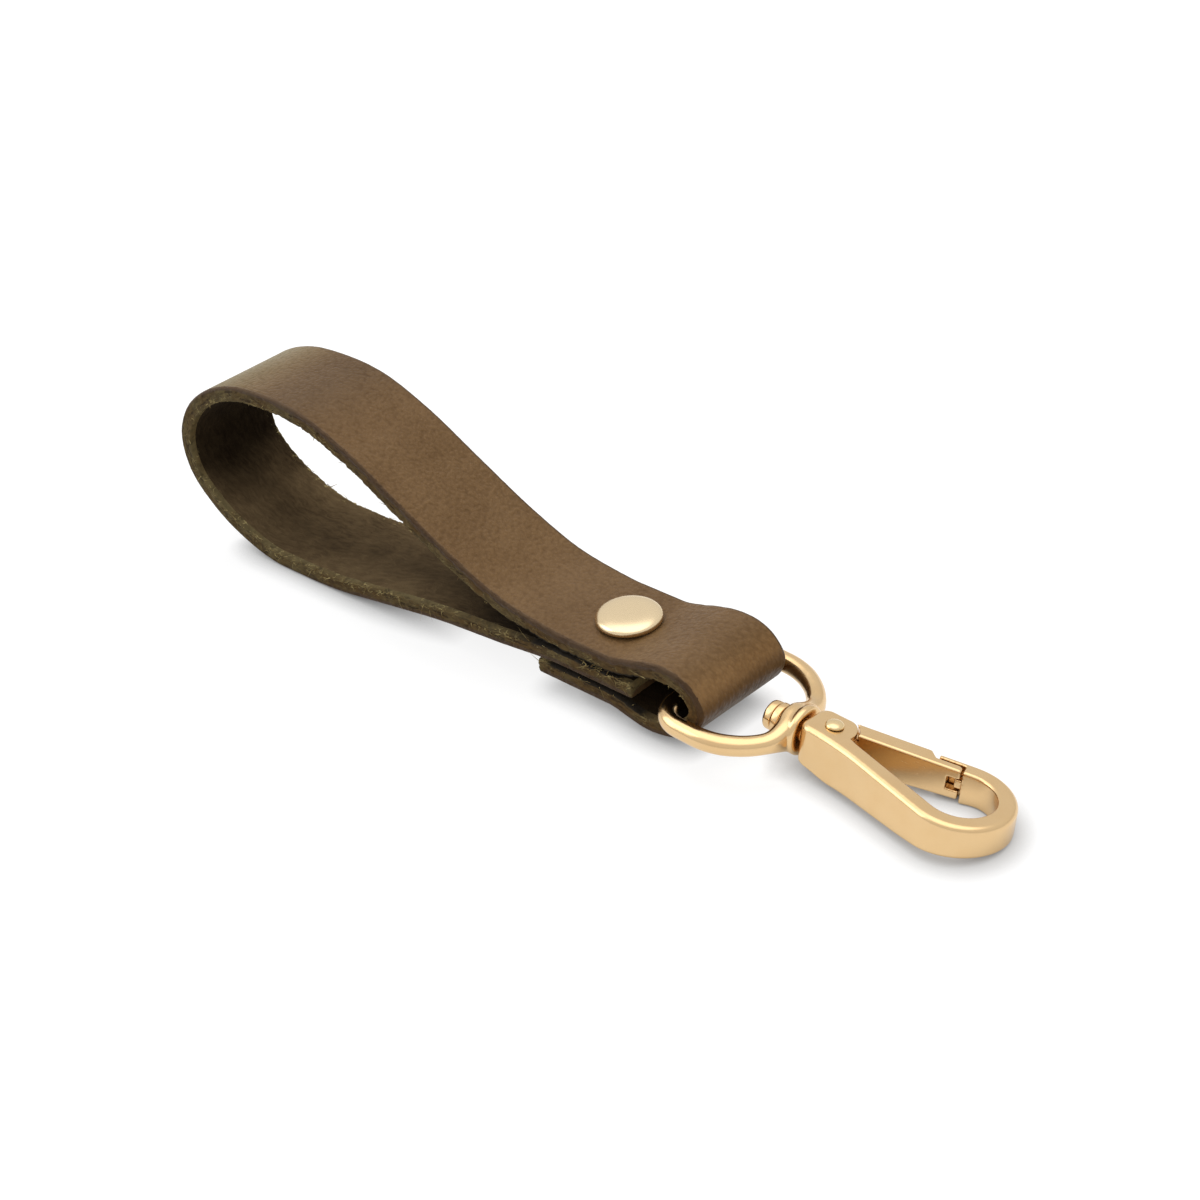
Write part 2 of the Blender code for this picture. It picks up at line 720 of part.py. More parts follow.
def make_gate(frame):
    high = HOOK_NECK_HEIGHT / 2
    gate = centred(taper(plate("gate", gate_outline(), -high, high)))
    place(gate, PARTS, frame, GOLD_CAST)
    bevel(gate, GATE_EDGE_ROUND)
    plates = SLOT_HALF - RUNNING_GAP
    reach = BOSS_RADIUS + 2 * SEAT_GAP
    outline = knuckle_outline(KNUCKLE_RADIUS, OPENING_ROOT, WEB_HIGH, reach)
    knuckle = centred(plate("knuckle", outline, -plates, plates))
    recess = rod("spring_recess", KNUCKLE_RADIUS + SEAT_GAP, -RECESS_HALF, RECESS_HALF)
    bore = rod("gate_bore", PIN_RADIUS + RUNNING_GAP, -high, high)
    far = GATE_LENGTH + CUT_OVERRUN
    near = GATE_LENGTH - NOTCH_DEPTH
    notch_outline = [
        point_at_radius(near, HOOK_BAR + CUT_OVERRUN),
        point_at_radius(far, HOOK_BAR + CUT_OVERRUN),
        point_at_radius(far, -CUT_OVERRUN),
        point_at_radius(near, -CUT_OVERRUN),
    ]
    notch_half = TONGUE_HEIGHT / 2 + SEAT_GAP
    notch = centred(plate("tongue_notch", notch_outline, -notch_half, notch_half))
    for helper, operation in (
        (knuckle, "UNION"),
        (recess, "DIFFERENCE"),
        (bore, "DIFFERENCE"),
        (notch, "DIFFERENCE"),
    ):
        combine(gate, place(helper, CUTTERS, frame), operation)


def make_pin(frame):
    """The hinge pin: a domed head on top, a shank and a flat peened tail."""
    top = half_height(PIN_X) + RUNNING_GAP
    round_off = arc((0.0, 0.0), 1.0, pi / 2, 0.0, WIRE_STEPS)
    dome = [(x * PIN_HEAD_RADIUS, top + y * PIN_HEAD_HEIGHT) for x, y in round_off]
    rest = [
        (PIN_RADIUS, top),
        (PIN_RADIUS, -top),
        (PIN_TAIL_RADIUS, -top),
        (PIN_TAIL_RADIUS, -top - PIN_TAIL_HEIGHT),
        (0.0, -top - PIN_TAIL_HEIGHT),
    ]
    place(turned("gate_pin", dome + rest), PARTS, frame, GOLD_PIN)


def make_spring(frame):
    """A torsion spring coiled round the pin, with a short straight leg at each end."""
    radius = PIN_RADIUS + RUNNING_GAP + 2 * SPRING_WIRE_RADIUS
    count = int(SPRING_TURNS * 2 * WIRE_STEPS)
    points = []
    for i in range(count + 1):
        angle = 2 * pi * SPRING_TURNS * i / count
        height = SPRING_PITCH * SPRING_TURNS * (i / count - 1 / 2)
        points.append((radius * cos(angle), radius * sin(angle), height))
    leg = KNUCKLE_RADIUS - radius
    first = (points[0][0], points[0][1] - leg, points[0][2])
    last = (points[-1][0], points[-1][1] + leg, points[-1][2])
    spring = wire("gate_spring", [first] + points + [last], SPRING_WIRE_RADIUS, resolution=2)
    place(spring, PARTS, frame, SPRING_STEEL)


def resting_pitch(bar_height, neck):
    """How far the swivel axis slopes for the hook's round end to rest on the floor."""
    lowest = half_height(END_X) * cos(HOOK_ROLL) + HOOK_END_RADIUS * abs(sin(HOOK_ROLL))
    return asin((bar_height - lowest) / (neck + END_X))


def main():
    middle = (BELLY_TO_RIVET, 0.0, STACK_HEIGHT)
    rivet_frame = empty_at("rivet_frame", middle, (0.0, STACK_TILT, 0.0))
    make_strap(rivet_frame)
    make_rivet(rivet_frame)
    neck = HUB_OUTER_FACE + SEAT_GAP
    slope = resting_pitch(BAR_POINT.y, neck)
    ring_frame = empty_at("ring_frame", (BAR_POINT.x, 0.0, BAR_POINT.y), (0.0, slope, 0.0))
    make_ring(ring_frame)
    hook_frame = empty_at("hook_frame", (neck, 0.0, 0.0), (HOOK_ROLL, 0.0, 0.0), ring_frame)
    pin_frame = empty_at("pin_frame", (PIN_X, 0.0, 0.0), parent=hook_frame)
    make_hook(hook_frame, pin_frame)
    make_washer(hook_frame)
    make_gate(pin_frame)
    make_pin(pin_frame)
    make_spring(pin_frame)


main()
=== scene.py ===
"""Loop keychain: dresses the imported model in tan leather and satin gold.

Metres, in the model's own frame: +X along the strap toward the hook, +Y across
the strap toward the gate's side, +Z up.
"""

import json
from math import asin, atan2, cos, hypot, pi, radians, sin, sqrt

import bmesh
import bpy
import numpy as np
from mathutils import Matrix, Vector


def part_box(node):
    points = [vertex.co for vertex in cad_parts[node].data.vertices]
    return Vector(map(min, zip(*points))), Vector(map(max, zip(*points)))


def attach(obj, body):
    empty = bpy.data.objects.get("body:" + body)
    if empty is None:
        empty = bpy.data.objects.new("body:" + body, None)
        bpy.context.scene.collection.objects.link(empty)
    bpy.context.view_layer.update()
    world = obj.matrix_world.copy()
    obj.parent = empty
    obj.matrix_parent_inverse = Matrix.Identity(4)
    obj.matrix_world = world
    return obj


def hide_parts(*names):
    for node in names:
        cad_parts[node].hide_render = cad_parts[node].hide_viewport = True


bl_info = {
    "name": "Loop keychain",
    "version": (1, 0, 0),
    "blender": (4, 5, 0),
    "location": "3D View > Sidebar > Keychain",
    "description": "Leather, gold castings and a stage for the loop keychain",
    "category": "Object",
}

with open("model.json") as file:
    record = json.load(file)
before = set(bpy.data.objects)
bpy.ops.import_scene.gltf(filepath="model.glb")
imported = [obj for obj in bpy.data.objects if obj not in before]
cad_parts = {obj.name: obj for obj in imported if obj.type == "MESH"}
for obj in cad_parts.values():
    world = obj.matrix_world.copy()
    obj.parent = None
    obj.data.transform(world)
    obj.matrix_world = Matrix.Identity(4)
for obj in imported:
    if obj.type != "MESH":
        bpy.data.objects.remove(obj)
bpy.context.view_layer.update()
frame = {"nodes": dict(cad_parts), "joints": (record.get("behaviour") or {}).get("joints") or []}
MM = 0.001

# Points nearer than these are one point, and a corner opener than this is straight
MERGE = 0.0005 * MM
SHORTEST_STEP, SAME_PLACE = 1e-9, 1e-7
STRAIGHT = radians(88.0)


# Places, read from the model

JOINTS = {joint["name"]: joint for joint in frame["joints"]}


def place_from(origin, x_axis, z_axis):
    """A frame as a 4x4 matrix from its origin, its X axis and its Z axis."""
    x, z = Vector(x_axis).normalized(), Vector(z_axis).normalized()
    place = Matrix((x, z.cross(x), z)).transposed().to_4x4()
    place.translation = Vector(origin)
    return place


def middle_of(node):
    low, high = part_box(node)
    return (low + high) / 2


ACROSS = Vector((0.0, 1.0, 0.0))
SWIVEL_AXIS = Vector(JOINTS["hook_swivel"]["axis"])
PIN_AXIS = -Vector(JOINTS["gate_hinge"]["axis"])
RIVET_AXIS = middle_of("rivet_cap") - middle_of("rivet_base")
RIVET = place_from(
    (middle_of("rivet_cap") + middle_of("rivet_base")) / 2, ACROSS.cross(RIVET_AXIS), RIVET_AXIS
)
RING = place_from(JOINTS["ring_swing"]["pos_m"], SWIVEL_AXIS, SWIVEL_AXIS.cross(ACROSS))
HOOK = place_from(JOINTS["hook_swivel"]["pos_m"], SWIVEL_AXIS, PIN_AXIS)
PIN = place_from(JOINTS["gate_hinge"]["pos_m"], SWIVEL_AXIS, PIN_AXIS)
PIN_X = (PIN.translation - HOOK.translation).length


# Settings that a user would change


def size(name, millimetres, description):
    """A length setting, given in millimetres and kept in metres."""
    return bpy.props.FloatProperty(
        name=name, description=description, default=millimetres * MM, min=0.0, precision=5,
        unit="LENGTH",
    )


def share(name, default, description):
    """A setting from 0 to 1."""
    return bpy.props.FloatProperty(
        name=name, description=description, default=default, min=0.0, max=1.0, subtype="FACTOR"
    )


def strength(name, default, description):
    """A light's power in watts, or the world's plain strength."""
    return bpy.props.FloatProperty(name=name, description=description, default=default, min=0.0)


def linear(code):
    """The linear colour of a six-figure sRGB code."""
    parts = np.array([int(code[i:i + 2], 16) for i in (0, 2, 4)]) / 255
    flat = np.where(parts <= 0.04045, parts / 12.92, ((parts + 0.055) / 1.055) ** 2.4)
    return tuple(float(part) for part in flat)


def colour(name, code, description):
    """A colour setting, given as an sRGB code and kept linear."""
    return bpy.props.FloatVectorProperty(
        name=name, description=description, default=linear(code), size=3, min=0.0, max=1.0,
        subtype="COLOR",
    )


class StrapSettings(bpy.types.PropertyGroup):
    """Sizes and colours of the leather strap."""

    width: size("Width", 19.4, "Width of the strap")
    thickness: size("Thickness", 2.82, "Thickness of the leather")
    lean: size("Lean", 1.0, "How much higher the far edge of the loop's lower run stands")
    skew: size("Skew", 0.5, "How much further the far edge of the fold reaches")
    grain_round: size("Grain edge", 0.55, "Rounding of the burnished edge on the grain side")
    flesh_round: size("Flesh edge", 0.28, "Rounding of the raw edge on the flesh side")
    pebble: size("Pebble", 0.62, "Size of the grain's pebbles")
    edge_relief: size("Edge relief", 0.08, "Depth of the tears in the cut edge")
    gouge: size("Gouge", 0.16, "Depth of the few deeper nicks in the cut edge")
    flesh_relief: size("Flesh relief", 0.05, "Depth of the nap on the flesh side")
    grain_light: colour("Grain light", "7f613d", "Lighter tone of the grain side")
    grain_dark: colour("Grain dark", "6a4e2d", "Darker tone of the grain side")
    faded_and_sheen: colour("Faded", "857f58", "Grain side where light has faded it, at the loop's end")
    # The grain's fading at the loop's end, partly a painted sheen
    burnish: colour("Burnish", "513a25", "Burnished band along the grain side's edges")
    core: colour("Core", "70552f", "Cut edge of the leather")
    fibre: colour("Fibre", "8c7e57", "Raised fibres of the cut edge")
    loose: colour("Loose fibre", "d2bd82", "Fibres that stand off the edge")
    fibres: bpy.props.IntProperty(
        name="Fibres", description="How many fibres stand off the edges", default=380, min=1
    )
    flesh_light: colour("Flesh light", "7e694b", "Lighter tone of the flesh side")
    flesh_dark: colour("Flesh dark", "2f2114", "Darker tone of the flesh side")


class RivetSettings(bpy.types.PropertyGroup):
    """Sizes and colour of the rivet's two caps."""

    radius: size("Radius", 5.5, "Radius of a cap")
    height: size("Height", 1.75, "Height of a cap over its seat")
    sheet: size("Sheet", 0.35, "Thickness of the drawn sheet")
    roll: size("Roll", 0.3, "Radius of the rolled rim")
    gold: colour("Gold", "e8d1aa", "Plating of the caps")


class RingSettings(bpy.types.PropertyGroup):
    """Sizes and colour of the swivel D-ring."""

    wire: size("Wire", 1.65, "Radius of the D's wire")
    rim: size("Rim", 4.1, "Radius of the hub's rim")
    lip: size("Lip", 0.6, "Rounding of the hub's rim")
    waist: size("Waist", 3.45, "Radius of the hub's waist")
    boss: size("Boss", 3.6, "Half height of the boss behind the waist")
    spread: size("Spread", 6.6, "How far from the hub the arms start to grow")
    fillet: bpy.props.IntProperty(
        name="Fillet", description="Rounds of smoothing where the arms meet the hub", default=100,
        min=0,
    )
    voxel: size("Casting grain", 0.14, "Fineness of the casting's blended surface")
    gold: colour("Gold", "e0bf8f", "Plating of the casting")


class HookSettings(bpy.types.PropertyGroup):
    """Sizes and colour of the hook, its gate and its pin."""

    fuller: size("Underside", 1.3, "How far the hook's underside bows out past its neck")
    rim_round: size("Outer rounding", 0.9, "Rounding of the hook's outer rims")
    foot_round: size("Lower rounding", 0.45, "Rounding of the hook's outer rims underneath")
    neck_round: size("Neck corner", 1.9, "Rounding of the neck's upright corners")
    neck_bend: size("Neck bend", 5.0, "How far the bend from the neck to the side reaches")
    opening_round: size("Opening rounding", 0.4, "Rounding of the rims round the opening")
    gate_round: size("Gate rounding", 0.35, "Rounding of the gate's rims")
    voxel: size("Casting grain", 0.14, "Fineness of the casting's blended surface")
    ease: bpy.props.IntProperty(
        name="Ease", description="Rounds of smoothing that round the cut edges", default=6, min=0
    )
    streak: share("Brushing", 0.35, "Strength of the brushed streaks")
    gold: colour("Gold", "e0bf8f", "Plating of the castings")
    pin_gold: colour("Pin gold", "e6cc9c", "Plating of the pin")
    steel: colour("Steel", "b9b9bb", "Wire of the gate's spring")


class StageSettings(bpy.types.PropertyGroup):
    """Floor, lamps and camera."""

    floor: colour("Floor", "8c8c8c", "Colour of the floor")
    lift: share("Lift", 0.86, "How much the floor glows for the camera and for gloss")
    contact: size("Contact", 4.5, "How near a thing has to be to take the glow off the floor")
    key: strength("Key lamp", 3.0, "Power of the soft lamp above and behind the loop")
    fill: strength("Fill lamp", 0.5, "Power of the soft lamp on the camera's right")
    glint: strength("Glint lamp", 0.9, "Power of the lamp that only shines in gloss, on rounded rims")
    sky: strength("Sky", 0.45, "Strength of the even light from all round")
    walls: strength("Walls", 0.8, "Brightness in gloss of the room near the floor")
    high_walls: strength("High walls", 0.9, "Brightness in gloss of the room's walls higher up")
    ceiling: strength("Ceiling", 2.0, "Brightness in gloss of the soft ceiling")
    lens: bpy.props.FloatProperty(
        name="Lens", description="Focal length of the camera in millimetres", default=59.4, min=1.0
    )


SETTINGS = {
    "keychain_strap": StrapSettings,
    "keychain_rivet": RivetSettings,
    "keychain_ring": RingSettings,
    "keychain_hook": HookSettings,
    "keychain_stage": StageSettings,
}


# Meshes


def placed(points, place):
    """Points of a frame as points of the world."""
    turn = np.array(place)
    return points @ turn[:3, :3].T + turn[:3, 3]


def grid_quads(rows, columns, last_row_meets_first=False, open_rows=False):
    """Quads between the neighbours of a grid whose rows are closed loops, unless left open."""
    row = np.arange(rows if last_row_meets_first else rows - 1)[:, None]
    column = np.arange(columns - 1 if open_rows else columns)[None, :]
    next_row, next_column = (row + 1) % rows, (column + 1) % columns
    corners = (
        row * columns + column,
        row * columns + next_column,
        next_row * columns + next_column,
        next_row * columns + column,
    )
    return np.stack(np.broadcast_arrays(*corners), axis=-1).reshape(-1, 4)


def new_object(name, points, faces, attributes=()):
    """An object at the origin from points in the world and faces, doubles merged, faces outward."""
    mesh = bpy.data.meshes.new(name)
    mesh.from_pydata(points.reshape(-1, 3).tolist(), [], [list(map(int, f)) for f in faces])
    for key, values in dict(attributes).items():
        layer = mesh.attributes.new(key, "FLOAT", "POINT")
        layer.data.foreach_set("value", np.ravel(values).astype(np.float32))
    tidy_mesh(mesh)
    obj = bpy.data.objects.new(name, mesh)
    bpy.context.scene.collection.objects.link(obj)
    return obj


def tidy_mesh(mesh):
    """Merges doubles, drops faces with no area and turns the faces outward."""
    bm = bmesh.new()
    bm.from_mesh(mesh)
    bmesh.ops.remove_doubles(bm, verts=bm.verts, dist=MERGE)
    bmesh.ops.dissolve_degenerate(bm, edges=bm.edges, dist=MERGE)
    bmesh.ops.recalc_face_normals(bm, faces=bm.faces)
    bm.to_mesh(mesh)
    bm.free()


def add_remesh(obj, voxel):
    """Adds a remesh of the whole casting at an even fineness."""
    remesh = obj.modifiers.new("even", "REMESH")
    remesh.mode = "VOXEL"
    remesh.voxel_size = voxel


def add_smoothing(obj, name, rounds):
    """Adds rounds of smoothing, each half of the way to the neighbours' middle."""
    smoothing = obj.modifiers.new(name, "SMOOTH")
    smoothing.factor = 0.5
    smoothing.iterations = rounds
    return smoothing


def apply_modifiers(obj):
    """Replaces the object's mesh by the one that its modifiers give."""
    graph = bpy.context.evaluated_depsgraph_get()
    mesh = bpy.data.meshes.new_from_object(
        obj.evaluated_get(graph), preserve_all_data_layers=True, depsgraph=graph
    )
    obj.modifiers.clear()
    obj.data = mesh
    mesh.name = obj.name
    return obj


def combine(obj, other, operation):
    """Joins another solid to the object, or cuts it out, and removes the other."""
    modifier = obj.modifiers.new(operation.lower(), "BOOLEAN")
    modifier.operation = operation
    modifier.solver = "EXACT"
    modifier.object = other
    apply_modifiers(obj)
    bpy.data.objects.remove(other, do_unlink=True)
    return obj


def finished(obj, material, body, nodes, sharp=40.0):
    """Shades the piece, gives it its finish and lets it stand for its nodes on their body."""
    obj.data.materials.clear()
    for each in material if isinstance(material, list) else [material]:
        obj.data.materials.append(each)
    obj.data.shade_smooth()
    obj.data.set_sharp_from_angle(angle=radians(sharp))
    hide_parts(*nodes)
    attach(obj, body)
    return obj


def positions(mesh):
    points = np.empty(len(mesh.vertices) * 3, np.float32)
    mesh.vertices.foreach_get("co", points)
    return points.reshape(-1, 3).astype(float)


def values_of(mesh, key):
    values = np.empty(len(mesh.vertices), np.float32)
    mesh.attributes[key].data.foreach_get("value", values)
    return values.astype(float)


def ramp(value, start, end):
    """0 up to start, 1 from end on, straight between them; end may be the smaller one."""
    return np.clip((value - start) / (end - start), 0, 1)


def soft(part):
    """A share from 0 to 1 with a level start and end: 3 * part**2 - 2 * part**3."""
    return part * part * (3 - 2 * part)


def bell(value, middle, reach):
    """1 at the middle, falling by exp(-((value - middle) / reach)**2)."""
    return np.exp(-(((value - middle) / reach) ** 2))


def lattice_noise(points, cell, seed):
    """Smooth noise from -1 to 1: random values on a lattice of that cell, blended softly."""
    places = points / np.array(cell)
    low = np.floor(places).astype(np.int64)
    part = soft(places - low)
    total = np.zeros(len(places))
    for corner in np.ndindex(2, 2, 2):
        key = (low + corner) @ np.array((73856093, 19349663, 83492791)) + seed * 2654435761
        key = ((key >> 13) ^ key) * 1274126177 & 0x7FFFFFFF
        value = (key >> 7 & 0xFFFF) / 0xFFFF
        total += value * np.prod(np.where(corner, part, 1 - part), axis=1)
    return 2 * total - 1


# Curves in a plane


def arc(centre, radius, start, end, steps):
    """Points at even angles on an arc, both ends included."""
    angle = np.linspace(start, end, steps + 1)
    return np.stack(
        [centre[0] + radius * np.cos(angle), centre[1] + radius * np.sin(angle)], axis=-1
    )


def evenly(points, count, closed=False):
    """The same line as points at even distances along it."""
    points = np.asarray(points, float)
    if closed:
        points = np.vstack([points, points[:1]])
    steps = np.hypot(*np.diff(points, axis=0).T)
    keep = np.r_[True, steps > SHORTEST_STEP]
    points = points[keep]
    along = np.r_[0.0, np.cumsum(np.hypot(*np.diff(points, axis=0).T))]
    wanted = np.linspace(0.0, along[-1], count, endpoint=not closed)
    return np.stack([np.interp(wanted, along, points[:, k]) for k in (0, 1)], axis=-1)


def eased(points, reach):
    """A closed line with each point moved to the weighted mean of its neighbours that far."""
    weight = 1 + np.cos(np.linspace(-pi, pi, 2 * reach + 3))[1:-1]
    weight /= weight.sum()
    shifts = range(-reach, reach + 1)
    return sum(w * np.roll(points, s, axis=0) for w, s in zip(weight, shifts))


def both_sides(half):
    """A closed line from its half with y above 0 and the mirror image of that half."""
    return np.vstack([half, half[::-1] * (1.0, -1.0)])


def left_normals(points):
    """Unit normals of a closed line, to the left of its direction."""
    step = np.roll(points, -1, axis=0) - np.roll(points, 1, axis=0)
    step /= np.hypot(*step.T)[:, None]
    return np.stack([-step[:, 1], step[:, 0]], axis=-1)


def rounded_corners(corners, radii, steps=6):
    """A closed outline whose corners are arcs: each touches its two sides at radius over tan."""
    outline = []
    count = len(corners)
    for i, radius in enumerate(radii):
        corner = np.array(corners[i])
        before = np.array(corners[i - 1]) - corner
        after = np.array(corners[(i + 1) % count]) - corner
        before, after = before / np.hypot(*before), after / np.hypot(*after)
        half = np.arccos(np.clip(before @ after, -1, 1)) / 2
        if radius == 0 or half > STRAIGHT:
            outline.append(corner[None, :])
            continue
        middle = (before + after) / np.hypot(*(before + after))
        centre = corner + middle * radius / np.sin(half)
        first = corner + before * radius / np.tan(half) - centre
        last = corner + after * radius / np.tan(half) - centre
        turn = np.linspace(0, 1, steps + 1)[:, None]
        whole = np.arccos(np.clip(first @ last / radius ** 2, -1, 1))
        spread = np.sin((1 - turn) * whole) * first + np.sin(turn * whole) * last
        outline.append(centre + spread / np.sin(whole))
    return np.vstack(outline)


def turned(name, profile, place, steps=96, along_x=False):
    """A profile of (radius, height) points carried round an axis."""
    profile = np.asarray(profile, float)
    angle = np.linspace(0, 2 * pi, steps, endpoint=False)[None, :]
    radius, height = profile[:, :1], profile[:, 1:] + 0 * angle
    round_x, round_y = radius * np.cos(angle), radius * np.sin(angle)
    parts = (height, round_x, round_y) if along_x else (round_x, round_y, height)
    points = np.stack(parts, axis=-1)
    return new_object(name, placed(points, place), grid_quads(*points.shape[:2]))


def rod(name, radius, low, high, place, steps, along_x=False):
    """A plain round bar on an axis."""
    profile = [(0.0, low), (radius, low), (radius, high), (0.0, high)]
    return turned(name, profile, place, steps, along_x)


def prism(name, outline, low, high, place):
    """An outline carried straight up, with flat ends."""
    outline = np.asarray(outline, float)
    count = len(outline)
    rings = [np.column_stack([outline, np.full(count, z)]) for z in (low, high)]
    faces = grid_quads(2, count).tolist() + [range(count), range(count, 2 * count)]
    return new_object(name, placed(np.vstack(rings), place), faces)


# Materials


class Value:
    """A socket of a material's nodes that Python's operators work on, one Math node each."""

    def __init__(self, bench, socket):
        self.bench = bench
        self.socket = socket

    def math(self, operation, *values):
        return self.bench.node(
            "ShaderNodeMath", {"operation": operation}, dict(enumerate(values))
        )

    def __add__(self, other):
        return self.math("ADD", self, other)

    def __sub__(self, other):
        return self.math("SUBTRACT", self, other)

    def __rsub__(self, other):
        return self.math("SUBTRACT", other, self)

    def __mul__(self, other):
        return self.math("MULTIPLY", self, other)

    def __truediv__(self, other):
        return self.math("DIVIDE", self, other)

    def __rtruediv__(self, other):
        return self.math("DIVIDE", other, self)

    def __abs__(self):
        return self.math("ABSOLUTE", self)

    __radd__ = __add__
    __rmul__ = __mul__

    def between(self, low, high):
        """0 below low, 1 above high, smooth between them."""
        return self.bench.node(
            "ShaderNodeMapRange",
            {"interpolation_type": "SMOOTHSTEP"},
            {0: self, 1: low, 2: high},
        )


class Bench:
    """The nodes of one material, or of the world."""

    def __init__(self, owner):
        self.owner = owner
        owner.use_nodes = True
        self.tree = owner.node_tree
        self.tree.nodes.clear()

    def node(self, kind, settings=(), values=(), output=0):
        """A new node: its settings come first, then a number, colour or link for each socket."""
        made = self.tree.nodes.new(kind)
        for name, setting in dict(settings).items():
            setattr(made, name, setting)
        for name, value in dict(values).items():
            if isinstance(value, Value):
                self.tree.links.new(value.socket, made.inputs[name])
            else:
                made.inputs[name].default_value = value
        return Value(self, made.outputs[output]) if made.outputs else made

    def mixed(self, factor, first, second, mode="MIX"):
        """Two colours mixed by a factor."""
        picks = {0: factor, 6: full(first), 7: full(second)}
        settings = {"data_type": "RGBA", "blend_type": mode, "clamp_result": True}
        return self.node("ShaderNodeMix", settings, picks, 2)

    def stretched(self, vector, scale):
        """A vector with each part multiplied."""
        return self.node("ShaderNodeVectorMath", {"operation": "MULTIPLY"}, {0: vector, 1: scale})

    def noise(self, vector, scale, detail=2.0, roughness=0.5):
        return self.node(
            "ShaderNodeTexNoise",
            (),
            {"Vector": vector, "Scale": scale, "Detail": detail, "Roughness": roughness},
        )

    def cells(self, vector, scale):
        """The distance to the nearest of scattered points, with soft borders."""
        values = {"Vector": vector, "Scale": scale}
        return self.node("ShaderNodeTexVoronoi", {"feature": "SMOOTH_F1"}, values)

    def object_place(self):
        return self.node("ShaderNodeTexCoord", output=3)

    def attributes(self, *names):
        settings = [{"attribute_name": name} for name in names]
        return [self.node("ShaderNodeAttribute", setting, output=2) for setting in settings]

    def vector(self, x, y, z):
        return self.node("ShaderNodeCombineXYZ", (), {0: x, 1: y, 2: z})

    def bump(self, height, distance, strength=1.0, normal=None):
        values = {"Height": height, "Distance": distance, "Strength": strength}
        if normal is not None:
            values["Normal"] = normal
        return self.node("ShaderNodeBump", (), values)

    def surface(self, tone, rough, others):
        """Ends the material in a Principled shader with these sockets and gives the material."""
        values = {"Base Color": full(tone), "Roughness": rough, **others}
        shader = self.node("ShaderNodeBsdfPrincipled", (), values)
        self.node("ShaderNodeOutputMaterial", (), {"Surface": shader})
        return self.owner


def full(value):
    """A colour with its fourth figure, or a link as it is."""
    return value if isinstance(value, Value) else (*value, 1.0)


SEAM_SHADOW = (0.012, 0.008, 0.004)
WAX_SHEEN = (0.78, 0.82, 0.68, 1.0)


def new_bench(name):
    """The bench of a new material."""
    return Bench(bpy.data.materials.new(name))


def grain_leather(settings):
    """Waxed grain side: soft mottling, pebbles, pores and a burnished band along the edges, with
    a painted highlight and painted shade round the fold and a painted sheen at the loop's end.
    """
    bench = new_bench("grain_leather")
    along, across, worn, shade = bench.attributes("along", "across", "worn", "shade")
    skin = bench.vector(along, across, 0.0)
    per_metre = 1.0 / settings.pebble
    cloud = bench.noise(skin, 85.0, 3.0, 0.55).between(0.3, 0.7)
    fine = bench.noise(skin, per_metre * 0.7, 4.0, 0.62)
    pores = bench.noise(skin, per_metre * 2.6, 2.0, 0.6)
    pebble = bench.cells(bench.stretched(skin, (1.0, 1.2, 1.0)), per_metre)
    crease = pebble.between(0.3, 0.8)
    edge = abs(across) / (settings.width / 2)
    burnt = (edge + fine * 0.05).between(0.94, 1.01)
    mottle = cloud * 0.45 + fine.between(0.3, 0.7) * 0.55
    tone = bench.mixed(mottle, settings.grain_dark, settings.grain_light)
    # Fading toward a pale olive at the loop's far end: partly wear, partly a painted sheen
    tone = bench.mixed(worn.between(0.4, 0.78) * 0.6, tone, settings.faded_and_sheen)
    tone = bench.mixed(crease * 0.22, tone, settings.grain_dark, "MULTIPLY")
    tone = bench.mixed(burnt * 0.45, tone, settings.burnish)
    # Painted highlight and painted shade: the shade attribute lightens the fold's bend and darkens
    # under the fold; past the loop's top and at the stack it only darkens the tone
    tone = bench.mixed(1.0, tone, bench.vector(shade, shade, shade), "MULTIPLY")
    height = fine * 0.9 - pebble * 0.7 + pores * 0.2
    normal = bench.bump(height, 0.25 * MM, 0.6, bench.bump(cloud, 0.2 * MM, 0.3))
    rough = 0.47 + crease * 0.1 - cloud * 0.06 - burnt * 0.1
    wax = {
        "Normal": normal, "Specular IOR Level": 0.18, "Coat Weight": burnt * 0.2,
        "Coat Roughness": 0.3, "Sheen Weight": 0.05, "Sheen Roughness": 0.35,
        "Sheen Tint": WAX_SHEEN,
    }
    return bench.surface(tone, rough, wax)


def cut_edge_leather(settings):
    """Cut edge: burnished below the grain, brown scored core, thin fibres, pale flesh corner."""
    bench = new_bench("cut_edge_leather")
    along, depth, across, worn, seam = bench.attributes("along", "depth", "across", "worn", "seam")
    skin = bench.vector(along, depth * settings.thickness, across)
    wander = bench.noise(skin, 300.0, 3.0, 0.6)
    grit = bench.noise(bench.stretched(skin, (0.45, 1.0, 0.6)), 1300.0, 3.0, 0.6)
    scores = bench.noise(bench.stretched(skin, (0.25, 1.0, 0.4)), 1700.0, 2.0, 0.5)
    blotch = bench.noise(skin, 210.0, 2.0, 0.5)
    fibres = raised_fibres(bench, skin)
    place = depth + (wander - 0.5) * 0.35
    pale = blotch.between(0.35, 0.65) * 0.4 + worn * 0.4
    core = bench.mixed(pale, settings.core, settings.fibre)
    core = bench.mixed(grit.between(0.6, 0.38) * 0.45, core, settings.flesh_dark)
    core = bench.mixed(scores.between(0.42, 0.34) * 0.7, core, settings.flesh_dark)
    core = bench.mixed(place.between(0.75, 1.0) * 0.3, core, settings.fibre)
    band = 1.0 - (place + worn * 0.3).between(0.32, 0.5)
    core = bench.mixed(band * 0.85, core, settings.burnish)
    core = bench.mixed(fibres * place.between(0.2, 0.9) * 0.85, core, settings.loose)
    core = bench.mixed(seam * depth.between(0.8, 0.92), core, SEAM_SHADOW)
    height = grit * 0.8 + scores.between(0.34, 0.5) * 0.6 + fibres * 0.5
    normal = bench.bump(height, 0.2 * MM, 0.8)
    rough = 0.85 - band * 0.3
    return bench.surface(core, rough, {"Normal": normal, "Specular IOR Level": 0.2})


